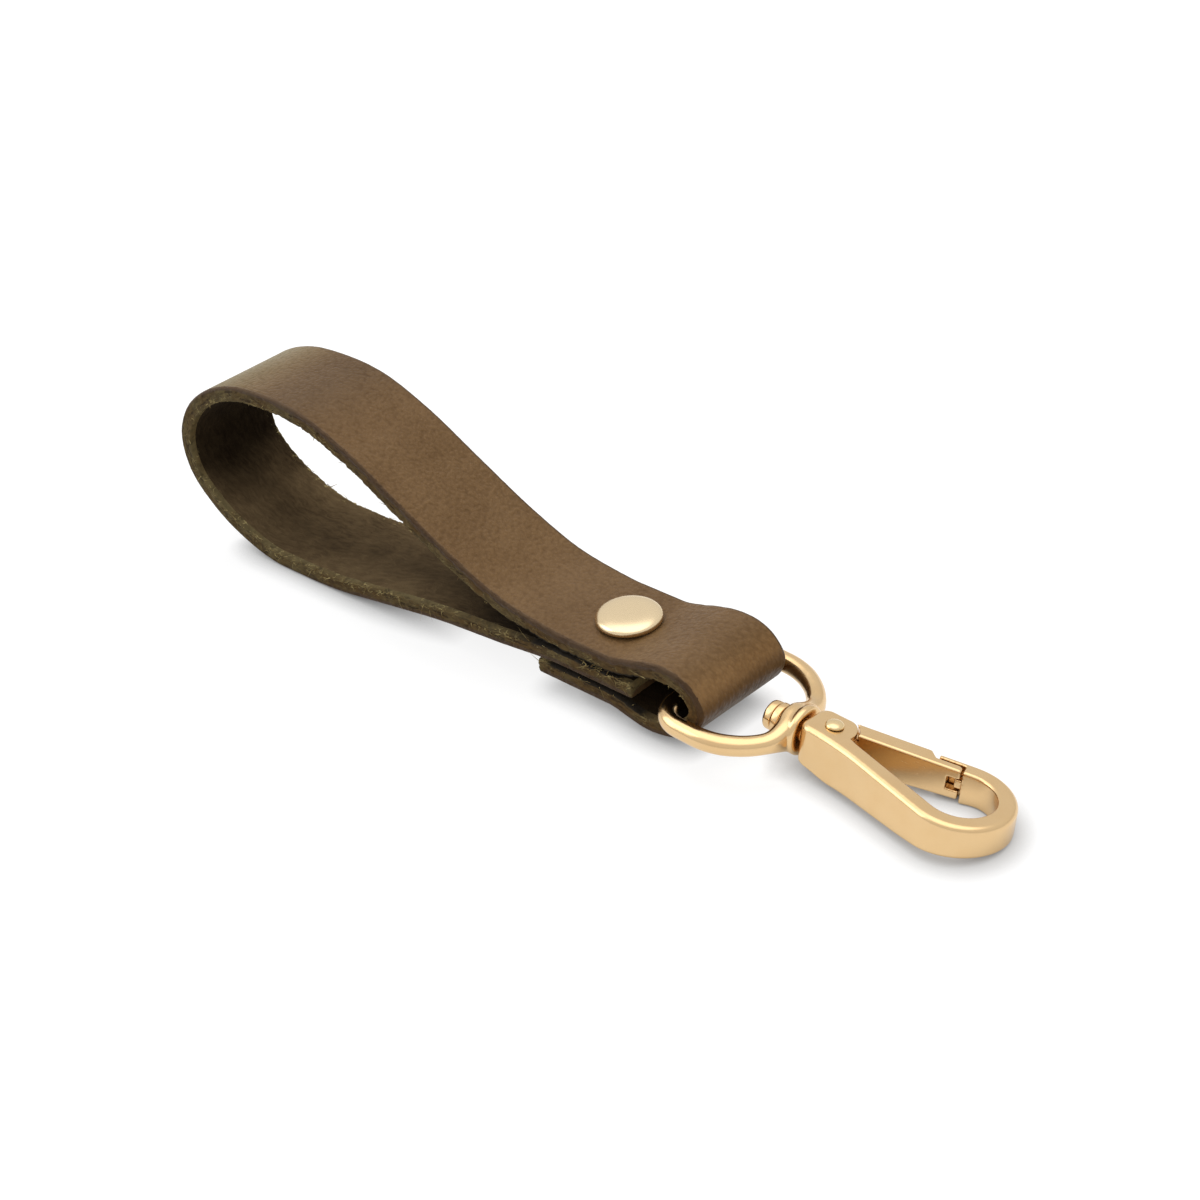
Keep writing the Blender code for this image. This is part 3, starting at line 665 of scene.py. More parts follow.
def raised_fibres(bench, skin):
    """Thin crooked lines where a noise passes its middle, kept only in scattered patches."""
    strokes = bench.noise(bench.stretched(skin, (520.0, 1500.0, 520.0)), 1.0, 2.0, 0.5)
    lines = 1.0 - abs(strokes - 0.5).between(0.004, 0.03)
    return lines * bench.noise(skin, 460.0, 2.0, 0.5).between(0.5, 0.62)


def flesh_leather(settings):
    """Flesh side: a short nap brushed along the strap, paler where rubbed, with painted light on the
    lower run and painted shade high inside the loop, in the fold and between the layers.
    """
    bench = new_bench("flesh_leather")
    along, across, worn = bench.attributes("along", "across", "worn")
    skin = bench.vector(along, across, 0.0)
    sway = bench.noise(skin, 90.0, 3.0, 0.6)
    brushed = bench.vector(along * 380.0 + across * 330.0, across * 1300.0 + sway * 7.0, 0.0)
    patch = bench.noise(skin, 150.0, 4.0, 0.6).between(0.25, 0.75)
    nap = bench.noise(brushed, 1.0, 4.0, 0.68)
    fuzz = bench.noise(skin, 2200.0, 3.0, 0.7)
    edge = (abs(across) / (settings.width / 2) + sway * 0.1).between(0.86, 1.04)
    cloud = bench.noise(skin, 55.0, 2.0, 0.5).between(0.3, 0.7)
    pale = patch * 0.3 + (cloud - 0.5) * 0.3 + nap.between(0.3, 0.75) * 0.4
    pale += fuzz * 0.12 + worn * 0.3
    tone = bench.mixed(pale, settings.flesh_dark, settings.flesh_light)
    # Painted shade: the flesh darkens where it is least rubbed and least painted lit, high inside the
    # loop, in the fold and between the layers
    tone = bench.mixed((1.0 - worn) * 0.85, tone, settings.flesh_dark, "MULTIPLY")
    tone = bench.mixed(edge * raised_fibres(bench, skin) * 0.9, tone, settings.loose)
    normal = bench.bump(nap + fuzz * 0.5, 0.25 * MM, 0.9)
    return bench.surface(tone, 0.95, {"Normal": normal, "Specular IOR Level": 0.08})


def fibre_finish(settings):
    """Pale loose fibres, browner where they are thick."""
    bench = new_bench("loose_fibres")
    change = bench.noise(bench.object_place(), 700.0, 2.0, 0.5).between(0.35, 0.65)
    tone = bench.mixed(change, settings.core, settings.loose)
    return bench.surface(tone, 0.75, {"Specular IOR Level": 0.2})


def satin_gold(name, tone, roughness, streak=0.0):
    """Plated casting: satin, faintly uneven, brushed along the hook where asked for."""
    bench = new_bench(name)
    place = bench.object_place()
    wave = bench.noise(place, 260.0, 2.0, 0.5)
    matt = bench.noise(place, 1500.0, 3.0, 0.6)
    lines = bench.noise(bench.stretched(place, (90.0, 3200.0, 2600.0)), 1.0, 3.0, 0.6)
    deep = tuple(part ** 1.2 for part in tone)
    shade = bench.mixed(wave.between(0.35, 0.75) * 0.3, tone, deep)
    rough = roughness + (matt - 0.5) * 0.08 + (lines - 0.5) * 0.2 * streak
    height = matt * 0.12 + lines * 0.6 * streak
    normal = bench.bump(height, 0.005 * MM, 0.35, bench.bump(wave, 0.09 * MM, 0.2))
    return bench.surface(shade, rough, {"Metallic": 1.0, "Normal": normal})


def polished_gold(name, tone):
    """Drawn and tumbled sheet: smooth, with the faintest dents and hairlines."""
    bench = new_bench(name)
    place = bench.object_place()
    wave = bench.noise(place, 420.0, 1.0, 0.5)
    hair = bench.noise(bench.stretched(place, (700.0, 5200.0, 700.0)), 1.0, 4.0, 0.6)
    rough = 0.22 + hair.between(0.4, 0.8) * 0.1
    normal = bench.bump(hair, 0.006 * MM, 0.3, bench.bump(wave, 0.09 * MM, 0.2))
    shade = bench.mixed(hair.between(0.55, 0.8) * 0.12, tone, tuple(p * 0.8 for p in tone))
    return bench.surface(shade, rough, {"Metallic": 1.0, "Normal": normal})


def drawn_steel(tone):
    """Bright spring wire with fine drawing marks."""
    bench = new_bench("drawn_steel")
    marks = bench.noise(bench.object_place(), 5200.0, 3.0, 0.6)
    normal = bench.bump(marks, 0.004 * MM, 0.4)
    return bench.surface(tone, 0.25 + marks * 0.15, {"Metallic": 1.0, "Normal": normal})


# The strap's middle line: the riveted stack, the loop and the fold round the bar

BELLY_TO_RIVET = 74.3 * MM
BELLY_FLAT = 8.0 * MM
LOOP_LENGTH = 101.3 * MM
LOOP_HEIGHT = 36.7 * MM
LEATHER = 2.9 * MM
LAYER_GAP = 0.45 * MM
CLAMPED_BACK = 5.7 * MM
CLAMPED_AHEAD = 3.2 * MM
INNER_END_REACH = 8.4 * MM
OUTER_END_REACH = 12.1 * MM
FOLD_LENGTH = 22.15 * MM
FOLD_HALF_HEIGHT = 5.8 * MM
SEAT_GAP = 0.3 * MM
RUNNING_GAP = 0.1 * MM
SOCKET_RADIUS = 1.7 * MM
LINE_STEP = 0.26 * MM
KNOT_STEPS = 40
END_STEPS = 5
END_FACE = 0.43

# Kinds of the strap's surface, and the mean kind from which a face is cut edge or flesh side
GRAIN, BURNISHED, CUT, FLESH = 0.0, 0.5, 1.0, 2.0
CUT_FACE, FLESH_FACE = 0.45, 1.6

# Where the strap changes: the places, along X, up Z or from a cut end, between which it does
LEANS_UP, LEANS_BACK = (16 * MM, 6 * MM), (45 * MM, 10 * MM)
SKEWED = (84 * MM, 94 * MM)
# Wear, and at the loop's far end partly painted light and a painted sheen, changes between these
RUBBED_AND_SHEEN_BACK, RUBBED_END = (20 * MM, -25 * MM), (1.6 * MM, 0.0)
RUBBED_UP, RUBBED_LOW = (16 * MM, 4 * MM), (60 * MM, 20 * MM)
SEAM_FROM_END = (1.5 * MM, 3.0 * MM)
SEAM_STARTS, SEAM_STOPS = (56 * MM, 62 * MM), (88 * MM, 84 * MM)
# The grain's darker tone past the top and at the stack, and its painted highlight and painted shade
# round the fold, change between these
PAST_TOP, PAST_TOP_UP = (5 * MM, 9 * MM), (16 * MM, 24 * MM)
STACK_STARTS, FOLD_STARTS = (50 * MM, 62 * MM), (86 * MM, 90 * MM)
# Painted light on the flesh of the lower run, and painted shade past the stack, change between these
PALE_FLESH_UP, PALE_FLESH_BACK = (14 * MM, 5 * MM), (57 * MM, 41 * MM)

# Loose fibres: how thickly they stand, how they point along, outward and up, and their sizes
# in millimetres, each as the least and what chance adds
FIBRES_ALL_OVER, FIBRES_WHERE_WORN, FIBRES_LEFT_OUT_AT_SEAM = 0.15, 0.2, 0.75
FIBRES_UP = (12 * MM, 4 * MM)
FIBRES_AT_START, START_STEPS = 3.0, 40
NEAR_EDGE_SHARE = 0.72
HIGHEST_ON_EDGE = 0.75
FIBRES_POINT = (1.0, 0.35, 0.45)
FIBRE_LENGTH, FIBRE_RADIUS = (0.6, 1.2), (0.045, 0.055)
FIBRE_BEND = 0.45
FIBRES_OFF_FLOOR = 0.15 * MM

# Shares of the loop's length back from the rivet and of its height
LOWER_RUN_SHARES = (
    (0.077, 0.189), (0.208, 0.156), (0.353, 0.123), (0.509, 0.058), (0.630, 0.009),
)
UPPER_RUN_SHARES = (
    (0.867, 0.061), (0.948, 0.199), (0.995, 0.371), (0.999, 0.555), (0.969, 0.723),
    (0.909, 0.871), (0.827, 0.972), (0.733, 1.000), (0.635, 0.975), (0.531, 0.859),
    (0.413, 0.664), (0.294, 0.472), (0.195, 0.351), (0.110, 0.304),
)
# Shares of the fold's length ahead of the rivet and of its half height
FOLD_SHARES = (
    (0.343, 0.700), (0.508, 0.880), (0.720, 1.000), (0.860, 0.900), (0.955, 0.620),
    (1.000, 0.250), (0.968, -0.100), (0.885, -0.430), (0.765, -0.700), (0.600, -0.850),
    (0.460, -0.850), (0.350, -0.760),
)


def strap_knots(thickness):
    """Points of the strap's middle line in X and Z, with their headings, or None for most."""
    run = np.array((RIVET[0][0], RIVET[2][0]))
    over = np.array((-run[1], run[0]))
    rivet = np.array((RIVET.translation.x, RIVET.translation.z))
    step = thickness + LAYER_GAP

    def stack(layer, reach):
        return rivet + layer * step * over + reach * run

    def loop(back, up):
        return np.array((BELLY_TO_RIVET - back * LOOP_LENGTH,
                         thickness / 2 + up * (LOOP_HEIGHT - thickness)))

    def fold(ahead, up):
        return rivet + (ahead * FOLD_LENGTH, up * FOLD_HALF_HEIGHT)

    flat = np.array((-1.0, 0.0))
    knots = [(stack(0, INNER_END_REACH), -run), (stack(0, -CLAMPED_BACK), -run)]
    knots += [(loop(*place), None) for place in LOWER_RUN_SHARES]
    knots += [(np.array((x, thickness / 2)), flat) for x in (BELLY_FLAT / 2, -BELLY_FLAT / 2)]
    knots += [(loop(*place), None) for place in UPPER_RUN_SHARES]
    knots += [(stack(1, -CLAMPED_BACK), run), (stack(1, CLAMPED_AHEAD), run)]
    knots += [(fold(*place), None) for place in FOLD_SHARES]
    return knots + [(stack(-1, CLAMPED_AHEAD), -run), (stack(-1, -OUTER_END_REACH), -run)]


def strap_line(thickness, step):
    """The middle line at even steps: cubics whose ends have the knots' places and headings."""
    knots = strap_knots(thickness)
    places = np.array([place for place, _ in knots])
    chords = np.diff(places, axis=0)
    lengths = np.hypot(*chords.T)
    weighed = chords / (lengths ** 2)[:, None]
    headings = np.vstack([weighed[:1], weighed[1:] + weighed[:-1], weighed[-1:]])
    for i, (_, heading) in enumerate(knots):
        if heading is not None:
            headings[i] = heading
    headings /= np.hypot(*headings.T)[:, None]
    t = np.linspace(0, 1, KNOT_STEPS, endpoint=False)[None, :, None]
    pull = lengths[:, None, None]
    curve = (
        (1 + 2 * t) * (1 - t) ** 2 * places[:-1, None]
        + t * (1 - t) ** 2 * pull * headings[:-1, None]
        + t ** 2 * (3 - 2 * t) * places[1:, None]
        + t ** 2 * (t - 1) * pull * headings[1:, None]
    )
    curve = np.vstack([curve.reshape(-1, 2), places[-1:]])
    total = np.hypot(*np.diff(curve, axis=0).T).sum()
    return evenly(curve, int(total / step) + 1), total


def strap_section(settings):
    """The strap's section as rows of across, depth below the grain, and kind of surface.

    It goes round a rectangle with two burnished corners and two sharper ones.
    """
    half, thick = settings.width / 2, settings.thickness
    grain, flesh = settings.grain_round, settings.flesh_round
    runs = (
        (GRAIN, np.linspace((grain - half, 0.0), (half - grain, 0.0), 17)),
        (BURNISHED, arc((half - grain, grain), grain, -pi / 2, 0, 6)),
        (CUT, np.linspace((half, grain), (half, thick - flesh), 10)),
        (CUT, arc((half - flesh, thick - flesh), flesh, 0, pi / 2, 4)),
        (FLESH, np.linspace((half - flesh, thick), (flesh - half, thick), 21)),
    )
    parts = [np.column_stack([run, np.full(len(run), kind)])[:-1] for kind, run in runs]
    one_side = np.vstack(parts[1:4])
    return np.vstack([*parts, one_side[::-1] * (-1.0, 1.0, 1.0)])


class KEYCHAIN_OT_strap(bpy.types.Operator):
    """Makes the leather strap, its cut edges and flesh side, and the fibres on its edges"""

    bl_idname = "keychain.strap"
    bl_label = "Leather strap"

    def execute(self, context):
        settings = context.scene.keychain_strap
        path = StrapPath(settings)
        strap = make_strap(settings, path)
        materials = [
            grain_leather(settings), cut_edge_leather(settings), flesh_leather(settings)
        ]
        finished(strap, materials, "strap_loop", ["strap"], sharp=60.0)
        assign_strap_faces(strap.data)
        fibres = make_fibres(settings, path)
        finished(fibres, fibre_finish(settings), "strap_loop", [])
        return {"FINISHED"}


class StrapPath:
    """The middle line at even steps, with its headings and the length along it.

    The strap lies a little askew: one edge of the loop stands higher, one edge of the fold
    reaches further.
    """

    def __init__(self, settings):
        self.settings = settings
        self.line, self.total = strap_line(LEATHER, LINE_STEP)
        self.along = np.linspace(0, self.total, len(self.line))
        self.heading = np.gradient(self.line, axis=0)

    def at(self, stations, values):
        return np.interp(stations, self.along, values)

    def place(self, stations):
        """X and Z of the middle line."""
        return self.at(stations, self.line[:, 0]), self.at(stations, self.line[:, 1])

    def ahead(self, stations):
        """X and Z of the heading, which has length 1."""
        x, z = self.at(stations, self.heading[:, 0]), self.at(stations, self.heading[:, 1])
        length = np.hypot(x, z)
        return x / length, z / length

    def from_end(self, stations):
        return np.minimum(stations, self.total - stations)

    def points(self, stations, across, below):
        """Points at a length along, a distance across and a depth below the middle line."""
        (x, z), (ahead_x, ahead_z) = self.place(stations), self.ahead(stations)
        x, z = x + ahead_z * below, z - ahead_x * below
        side = across / (self.settings.width / 2)
        low = ramp(z, *LEANS_UP) * ramp(x, *LEANS_BACK)
        z = z + self.settings.lean * low * (1 + side) / 2
        x = x + self.settings.skew * side * ramp(x, *SKEWED)
        return np.stack(np.broadcast_arrays(x, across, z), axis=-1)


def make_strap(settings, path):
    """The section carried along the middle line, drawn in to a rounded edge at both ends.

    An end's rings are drawn in by ease * (1 - sin) at ease * (1 - cos) from the end. Before
    them come flat rings over the cut face, up to a small face that closes it.
    """
    section = strap_section(settings)
    across, depth, kind = section.T[:, None, :]
    ease = settings.flesh_round
    turn = np.linspace(0, pi / 2, END_STEPS)
    start = np.r_[0 * turn, ease * (1 - np.cos(turn))]
    flat = np.linspace(settings.thickness * END_FACE, ease * 1.2, END_STEPS)
    inset = np.r_[flat, ease * (1 - np.sin(turn))]
    inner = path.along[(path.along > 1.5 * ease) & (path.along < path.total - 1.5 * ease)]
    stations = np.r_[start, inner, path.total - start[::-1]][:, None]
    drawn = np.r_[inset, np.zeros(len(inner)), inset[::-1]][:, None]
    half_width, half_thick = settings.width / 2, settings.thickness / 2
    across = across * (1 - drawn / half_width)
    below = (depth - half_thick) * (1 - drawn / half_thick)
    points = path.points(stations, across, below)
    shape = points.shape[:2]
    attributes = {
        "along": np.broadcast_to(stations, shape),
        "across": across,
        "depth": np.broadcast_to(depth / settings.thickness, shape),
        "kind": np.where(drawn > 0, CUT, kind),
        "seam": np.broadcast_to(strap_seam(stations, path), shape),
        # Painted highlight and painted shade on the grain round the fold, and darker tone past the
        # loop's top
        "shade": np.broadcast_to(grain_tone_and_painted_light(stations, path), shape),
        # Cut edge and grain: wear, partly painted light and sheen at the loop's end; flesh side: wear
        # with painted light and painted shade
        "worn": np.where(
            kind > CUT,
            flesh_wear_and_shading(stations, across / half_width, path),
            strap_wear_and_sheen(stations, path),
        ),
    }
    first, last = np.arange(shape[1]), np.arange(points[..., 0].size)[-shape[1]:]
    strap = new_object("leather_strap", points, [*grid_quads(*shape), first, last], attributes)
    roughen(strap.data, settings)
    reach = 2 * (settings.thickness + LAYER_GAP) + settings.thickness
    hole = rod("rivet_hole", SOCKET_RADIUS + SEAT_GAP, -reach, reach, RIVET, 48)
    return combine(strap, hole, "DIFFERENCE")


def unit(vectors):
    """Vectors drawn out or in to length 1."""
    return vectors / np.linalg.norm(vectors, axis=1, keepdims=True)


def fibre_roots(settings, path, chance):
    """Where the fibres stand: their points, the direction along the strap and their side."""
    count = settings.fibres
    weight = FIBRES_ALL_OVER + FIBRES_WHERE_WORN * strap_wear_and_sheen(path.along, path)
    weight += ramp(path.line[:, 1], *FIBRES_UP)
    weight *= 1 - FIBRES_LEFT_OUT_AT_SEAM * strap_seam(path.along, path)
    weight[:START_STEPS] += FIBRES_AT_START
    stations = chance.choice(path.along, count, p=weight / weight.sum())
    stations = np.clip(stations, 0.0, path.total - 0.5 * MM)
    side = np.where(chance.random(count) < NEAR_EDGE_SHARE, -1.0, 1.0)
    rise = chance.random(count) ** 2
    on_flesh = rise > HIGHEST_ON_EDGE
    inset = 0.05 * MM + 0.7 * MM * on_flesh * chance.random(count)
    across = side * (settings.width / 2 - inset)
    below = settings.thickness * (0.5 - 0.45 * rise * ~on_flesh) - 0.04 * MM
    root = path.points(stations, across, below)
    return root, unit(path.points(stations + 0.3 * MM, across, below) - root), side


def make_fibres(settings, path):
    """Short thin tapered fibres on the flesh side's corners, thickest along the lower run.

    A fibre runs from its root by length * t in its direction, bends by t**2, and is a
    pentagon whose radius falls with 1.02 - t.
    """
    chance = np.random.default_rng(11)
    count = settings.fibres
    root, step, side = fibre_roots(settings, path, chance)
    out = np.stack([0 * side, side, 0 * side], axis=-1)
    up = np.cross(step, out) * side[:, None]
    mix = chance.normal(size=(count, 3)) * FIBRES_POINT
    heading = unit(mix[:, :1] * step + np.abs(mix[:, 1:2]) * out + mix[:, 2:] * up)
    least, more = FIBRE_LENGTH
    length = (least + more * chance.random(count))[:, None, None] * MM
    t = np.linspace(0, 1, 5)[None, :, None]
    bend = chance.normal(size=(count, 1, 3)) * FIBRE_BEND
    spine = root[:, None] + (heading[:, None] * t + bend * t ** 2) * length
    spine[..., 2] = np.maximum(spine[..., 2], FIBRES_OFF_FLOOR)
    angle = np.linspace(0, 2 * pi, 5, endpoint=False)[None, :, None]
    wide = unit(np.cross(heading, (0.31, 0.52, 0.79)))
    ring = np.cos(angle) * wide[:, None] + np.sin(angle) * np.cross(heading, wide)[:, None]
    least, more = FIBRE_RADIUS
    thick = (least + more * chance.random(count)) * MM
    radius = thick[:, None, None, None] * (1.02 - t)[..., None]
    points = spine[:, :, None] + ring[:, None] * radius
    rows, sides = points.shape[1:3]
    starts = rows * sides * np.arange(count)[:, None, None]
    walls = (grid_quads(rows, sides)[None] + starts).reshape(-1, 4)
    ends = np.arange(rows * sides).reshape(rows, sides)[[0, -1]]
    ends = (ends[None] + starts).reshape(-1, sides)
    return new_object("loose_fibres", points, [*walls, *ends])


def strap_wear_and_sheen(stations, path):
    """How rubbed and paled the cut edge and the grain are: most at the loop's far end and at the
    cut ends. At the loop's far end this is partly painted light, on the grain a painted sheen.
    """
    x, z = path.place(stations)
    back, ends = ramp(x, *RUBBED_AND_SHEEN_BACK), ramp(path.from_end(stations), *RUBBED_END)
    low = ramp(z, *RUBBED_UP) * ramp(x, *RUBBED_LOW)
    return np.clip(0.15 + 0.7 * back + 0.15 * low + 0.8 * ends, 0, 1)


def strap_seam(stations, path):
    """1 where another layer lies against the flesh side, 0 elsewhere."""
    x, _ = path.place(stations)
    inside = ramp(path.from_end(stations), *SEAM_FROM_END)
    return inside * ramp(x, *SEAM_STARTS) * ramp(x, *SEAM_STOPS)


def grain_tone_and_painted_light(stations, path):
    """How much paler or darker the waxed grain is than its own colour.

    Darker past the loop's top and at the stack, with painted shade under the fold and a
    painted highlight where the fold turns. Upward says how far the grain side faces up, from
    1 down to -1.
    """
    (x, z), (upward, _) = path.place(stations), path.ahead(stations)
    top = bell(x, *PAST_TOP) * ramp(z, *PAST_TOP_UP)
    stack = ramp(x, *STACK_STARTS) * ramp(upward, 0.5, 0.8)
    fold = ramp(x, *FOLD_STARTS)
    # turn is a painted highlight across the fold's bend; under is painted shade beneath the fold
    turn, under = fold * bell(upward, 0.6, 0.25), fold * ramp(upward, 0.15, -0.35)
    return 1 - 0.36 * top - 0.1 * stack + 0.75 * turn - 0.45 * under


def flesh_wear_and_shading(stations, side, path):
    """How pale the flesh side is: paler with wear along the lower run's edges and with painted
    light on the lower run, darkest with painted shade high in the loop, in the fold and between
    the layers.
    """
    x, z = path.place(stations)
    near, far = ramp(side, -0.1, -0.9), ramp(side, -0.2, 1.0)
    pale = 0.12 + 0.1 * near + ramp(z, *PALE_FLESH_UP) * (0.5 + 0.5 * near + 0.25 * far)
    return np.clip(pale * np.maximum(ramp(x, *PALE_FLESH_BACK), 0.05), 0, 1.2)


def roughen(mesh, settings):
    """Moves the surface along its normals: torn fibres on the cut edge, nap on the flesh side."""
    points = positions(mesh)
    normals = np.empty(len(points) * 3, np.float32)
    mesh.vertex_normals.foreach_get("vector", normals)
    normals = normals.reshape(-1, 3)
    kind = values_of(mesh, "kind")
    skin = np.column_stack(
        [values_of(mesh, key) for key in ("along", "across")]
        + [values_of(mesh, "depth") * settings.thickness]
    )
    torn = lattice_noise(skin, (0.9 * MM, 0.9 * MM, 0.5 * MM), 1)
    torn += 0.7 * lattice_noise(skin, (0.5 * MM, 0.5 * MM, 0.3 * MM), 2)
    nap = lattice_noise(skin, (1.6 * MM, 1.1 * MM, 1.1 * MM), 3)
    swell = lattice_noise(skin, (9 * MM, 7 * MM, 7 * MM), 4)
    nick = ramp(lattice_noise(skin, (0.8 * MM, 0.8 * MM, 0.7 * MM), 5), 0.35, 0.75)
    cut = torn * settings.edge_relief - nick * settings.gouge
    rise = np.select(
        [kind > CUT, kind > BURNISHED, kind > GRAIN],
        [nap * settings.flesh_relief, cut, 0.02 * MM * torn],
        swell * 0.02 * MM,
    )
    points += normals * rise[:, None]
    mesh.vertices.foreach_set("co", points.astype(np.float32).ravel())
    mesh.update()


def assign_strap_faces(mesh):
    """Gives each face of the strap the leather of the kind of surface that it lies on."""
    kind = values_of(mesh, "kind")
    loops = np.empty(len(mesh.loops), np.int32)
    mesh.loops.foreach_get("vertex_index", loops)
    starts = np.empty(len(mesh.polygons), np.int32)
    mesh.polygons.foreach_get("loop_start", starts)
    mean = np.add.reduceat(kind[loops], starts) / np.diff(np.r_[starts, len(loops)])
    index = np.select([mean > FLESH_FACE, mean > CUT_FACE], [2, 1], 0)
    mesh.polygons.foreach_set("material_index", index.astype(np.int32))
    mesh.update()


# The rivet's caps


def cap_profile(settings):
    """A low dome that falls faster toward its rim, a rolled rim and the sheet's inside.

    Outside: share of the radius to the power 3 and share of the height to the power 3 add to 1.
    """
    seat = 1.5 * LEATHER + LAYER_GAP + SEAT_GAP
    rim = settings.roll
    angle = np.linspace(0, pi / 2, 25)
    reach, rise = np.sin(angle) ** (2 / 3), np.cos(angle) ** (2 / 3)
    top = settings.height - rim
    outside = np.column_stack([settings.radius * reach, seat + rim + top * rise])
    roll = arc((settings.radius - rim, seat + rim), rim, 0, -pi / 2, 6)[1:]
    inner = settings.radius - max(settings.sheet, rim)
    inside = np.column_stack(
        [inner * reach[::-1], seat + rim + (top - settings.sheet) * rise[::-1]]
    )
    return np.vstack([outside, roll, inside])


class KEYCHAIN_OT_rivet(bpy.types.Operator):
    """Makes the rivet's two caps and finishes its socket and post"""

    bl_idname = "keychain.rivet"
    bl_label = "Rivet"

    def execute(self, context):
        settings = context.scene.keychain_rivet
        gold = polished_gold("polished_gold", tuple(settings.gold))
        profile = cap_profile(settings)
        for part, flip in (("cap", 1.0), ("base", -1.0)):
            cap = turned(part + "_dome", profile * (1.0, flip), RIVET)
            finished(cap, gold, "strap_loop", ["rivet_" + part], sharp=60.0)
        for node in ("rivet_socket", "rivet_post"):
            repaint(node, gold)
        return {"FINISHED"}


def repaint(node, material):
    """Gives one of the model's own nodes a finish."""
    mesh = frame["nodes"][node].data
    mesh.materials.clear()
    mesh.materials.append(material)


# The D-ring

RING_INSIDE = 19.7 * MM
RING_CORNER = 4.0 * MM
RING_SIDE_REACH = 7.2 * MM
HUB_BEHIND_APEX = 2.8 * MM
HUB_LENGTH = 4.1 * MM
HUB_WAIST_SHARE = 0.55
SWIVEL_POST_RADIUS = 1.75 * MM
WASHER_RADIUS = 2.55 * MM
WASHER_THICKNESS = 1.25 * MM
PEENED_RADIUS = 2.4 * MM
PEENED_THICKNESS = 1.5 * MM
# Where the smoothing between arms and hub fades out, from the hub's inner end
FILLET_FRONT = (HUB_LENGTH - 0.9 * MM, HUB_LENGTH - 1.7 * MM)
FILLET_BACK = (-3.5 * MM, -1.5 * MM)


def ring_half(ring):
    return RING_INSIDE / 2 + ring.wire


def ring_line(half):
    """The D in its own plane: the bar, two corners, two short sides and a half circle."""
    corner = (RING_CORNER, half - RING_CORNER)
    one = [
        [(0.0, 0.0), (0.0, corner[1])],
        arc(corner, RING_CORNER, pi, pi / 2, 16),
        arc((RING_SIDE_REACH, 0.0), half, pi / 2, 0.0, 48),
    ]
    return evenly(both_sides(np.vstack(one)), 320, closed=True)


def hub_profile(ring, inner):
    """The hub's side from the hook's end to the D's inside: flared rim, then the waist."""
    outer = inner + HUB_LENGTH
    waist = inner + HUB_WAIST_SHARE * HUB_LENGTH
    t = np.linspace(0, 1, 9)
    start = outer - 1.7 * ring.lip
    fall = ring.rim + (ring.waist - ring.rim) * soft(t)
    flank = np.column_stack([fall, start + (waist - start) * t])
    lip = arc((ring.rim - ring.lip, outer - ring.lip), ring.lip, pi / 2, 0.0, 6)
    end = inner + 0.3 * MM
    return np.vstack([[(0.0, outer)], lip, flank, [(ring.waist, end), (0.0, end)]])


def arm_points(ring, half):
    """The wire round the D, whose section grows to the flat-backed boss behind the hub.

    Round by round: across = middle + half width * |cos|**power and height = half height *
    |sin|**power, with the signs of cos and sin. The power falls from 1, a circle, to 0.6.
    """
    line = eased(ring_line(half), 6)
    outward = left_normals(line)
    flat_back = RING_SIDE_REACH + half - HUB_BEHIND_APEX
    on_arc = line[:, 0] > RING_SIDE_REACH
    near = soft(ramp(np.abs(line[:, 1]), ring.spread, 0.0) * on_arc)
    back = (flat_back - RING_SIDE_REACH) / np.clip(outward[:, 0], 0.05, 1) - half
    inner, outer = np.minimum(-ring.wire, back), ring.wire * (1 - 0.35 * near)
    tall = ring.wire + (ring.boss - ring.wire) * near
    power = (1 - 0.4 * near)[:, None]
    angle = np.linspace(0, 2 * pi, 36, endpoint=False)[None, :]
    circle = (np.cos(angle), np.sin(angle))
    across, high = (np.sign(part) * np.abs(part) ** power for part in circle)
    reach = ((outer + inner)[:, None] + (outer - inner)[:, None] * across) / 2
    flat = line[:, None, :] + outward[:, None, :] * reach[:, :, None]
    return np.concatenate([flat, (tall[:, None] * high)[:, :, None]], axis=2)


def make_ring(ring):
    """The arms and the hub, cast as one: merged, remeshed and eased most near the hub."""
    half = ring_half(ring)
    points = arm_points(ring, half)
    quads = grid_quads(*points.shape[:2], last_row_meets_first=True)
    body = new_object("d_ring_casting", placed(points, RING), quads)
    inner = RING_SIDE_REACH + half - HUB_BEHIND_APEX
    hub = turned("hub", hub_profile(ring, inner), RING, 96, along_x=True)
    combine(body, hub, "UNION")
    add_remesh(body, ring.voxel)
    apply_modifiers(body)
    ease_near_hub(body, inner, ring)
    radius, past = SWIVEL_POST_RADIUS + RUNNING_GAP, 2 * MM
    bore = rod("bore", radius, inner - past, inner + HUB_LENGTH + past, RING, 64, along_x=True)
    return combine(body, bore, "DIFFERENCE")


def ease_near_hub(body, inner, ring):
    """Evens the remeshed surface, lightly all over and more where the arms meet the hub."""
    ahead = placed(positions(body.data), RING.inverted())[:, 0] - inner
    near = np.round(ramp(ahead, *FILLET_FRONT) * ramp(ahead, *FILLET_BACK), 1)
    group = body.vertex_groups.new(name="fillet")
    for weight in np.unique(near[near > 0]):
        group.add(np.flatnonzero(near == weight).tolist(), float(weight), "REPLACE")
    add_smoothing(body, "even", 5)
    add_smoothing(body, "fillet", ring.fillet).vertex_group = group.name
    apply_modifiers(body)


class KEYCHAIN_OT_ring(bpy.types.Operator):
    """Makes the swivel D-ring as one casting with its hub"""

    bl_idname = "keychain.ring"
    bl_label = "Swivel D-ring"

    def execute(self, context):
        ring = context.scene.keychain_ring
        casting = make_ring(ring)
        gold = satin_gold("satin_gold_ring", tuple(ring.gold), 0.2)
        finished(casting, gold, "ring", ["swivel_d_ring"], sharp=65.0)
        return {"FINISHED"}


# The hook

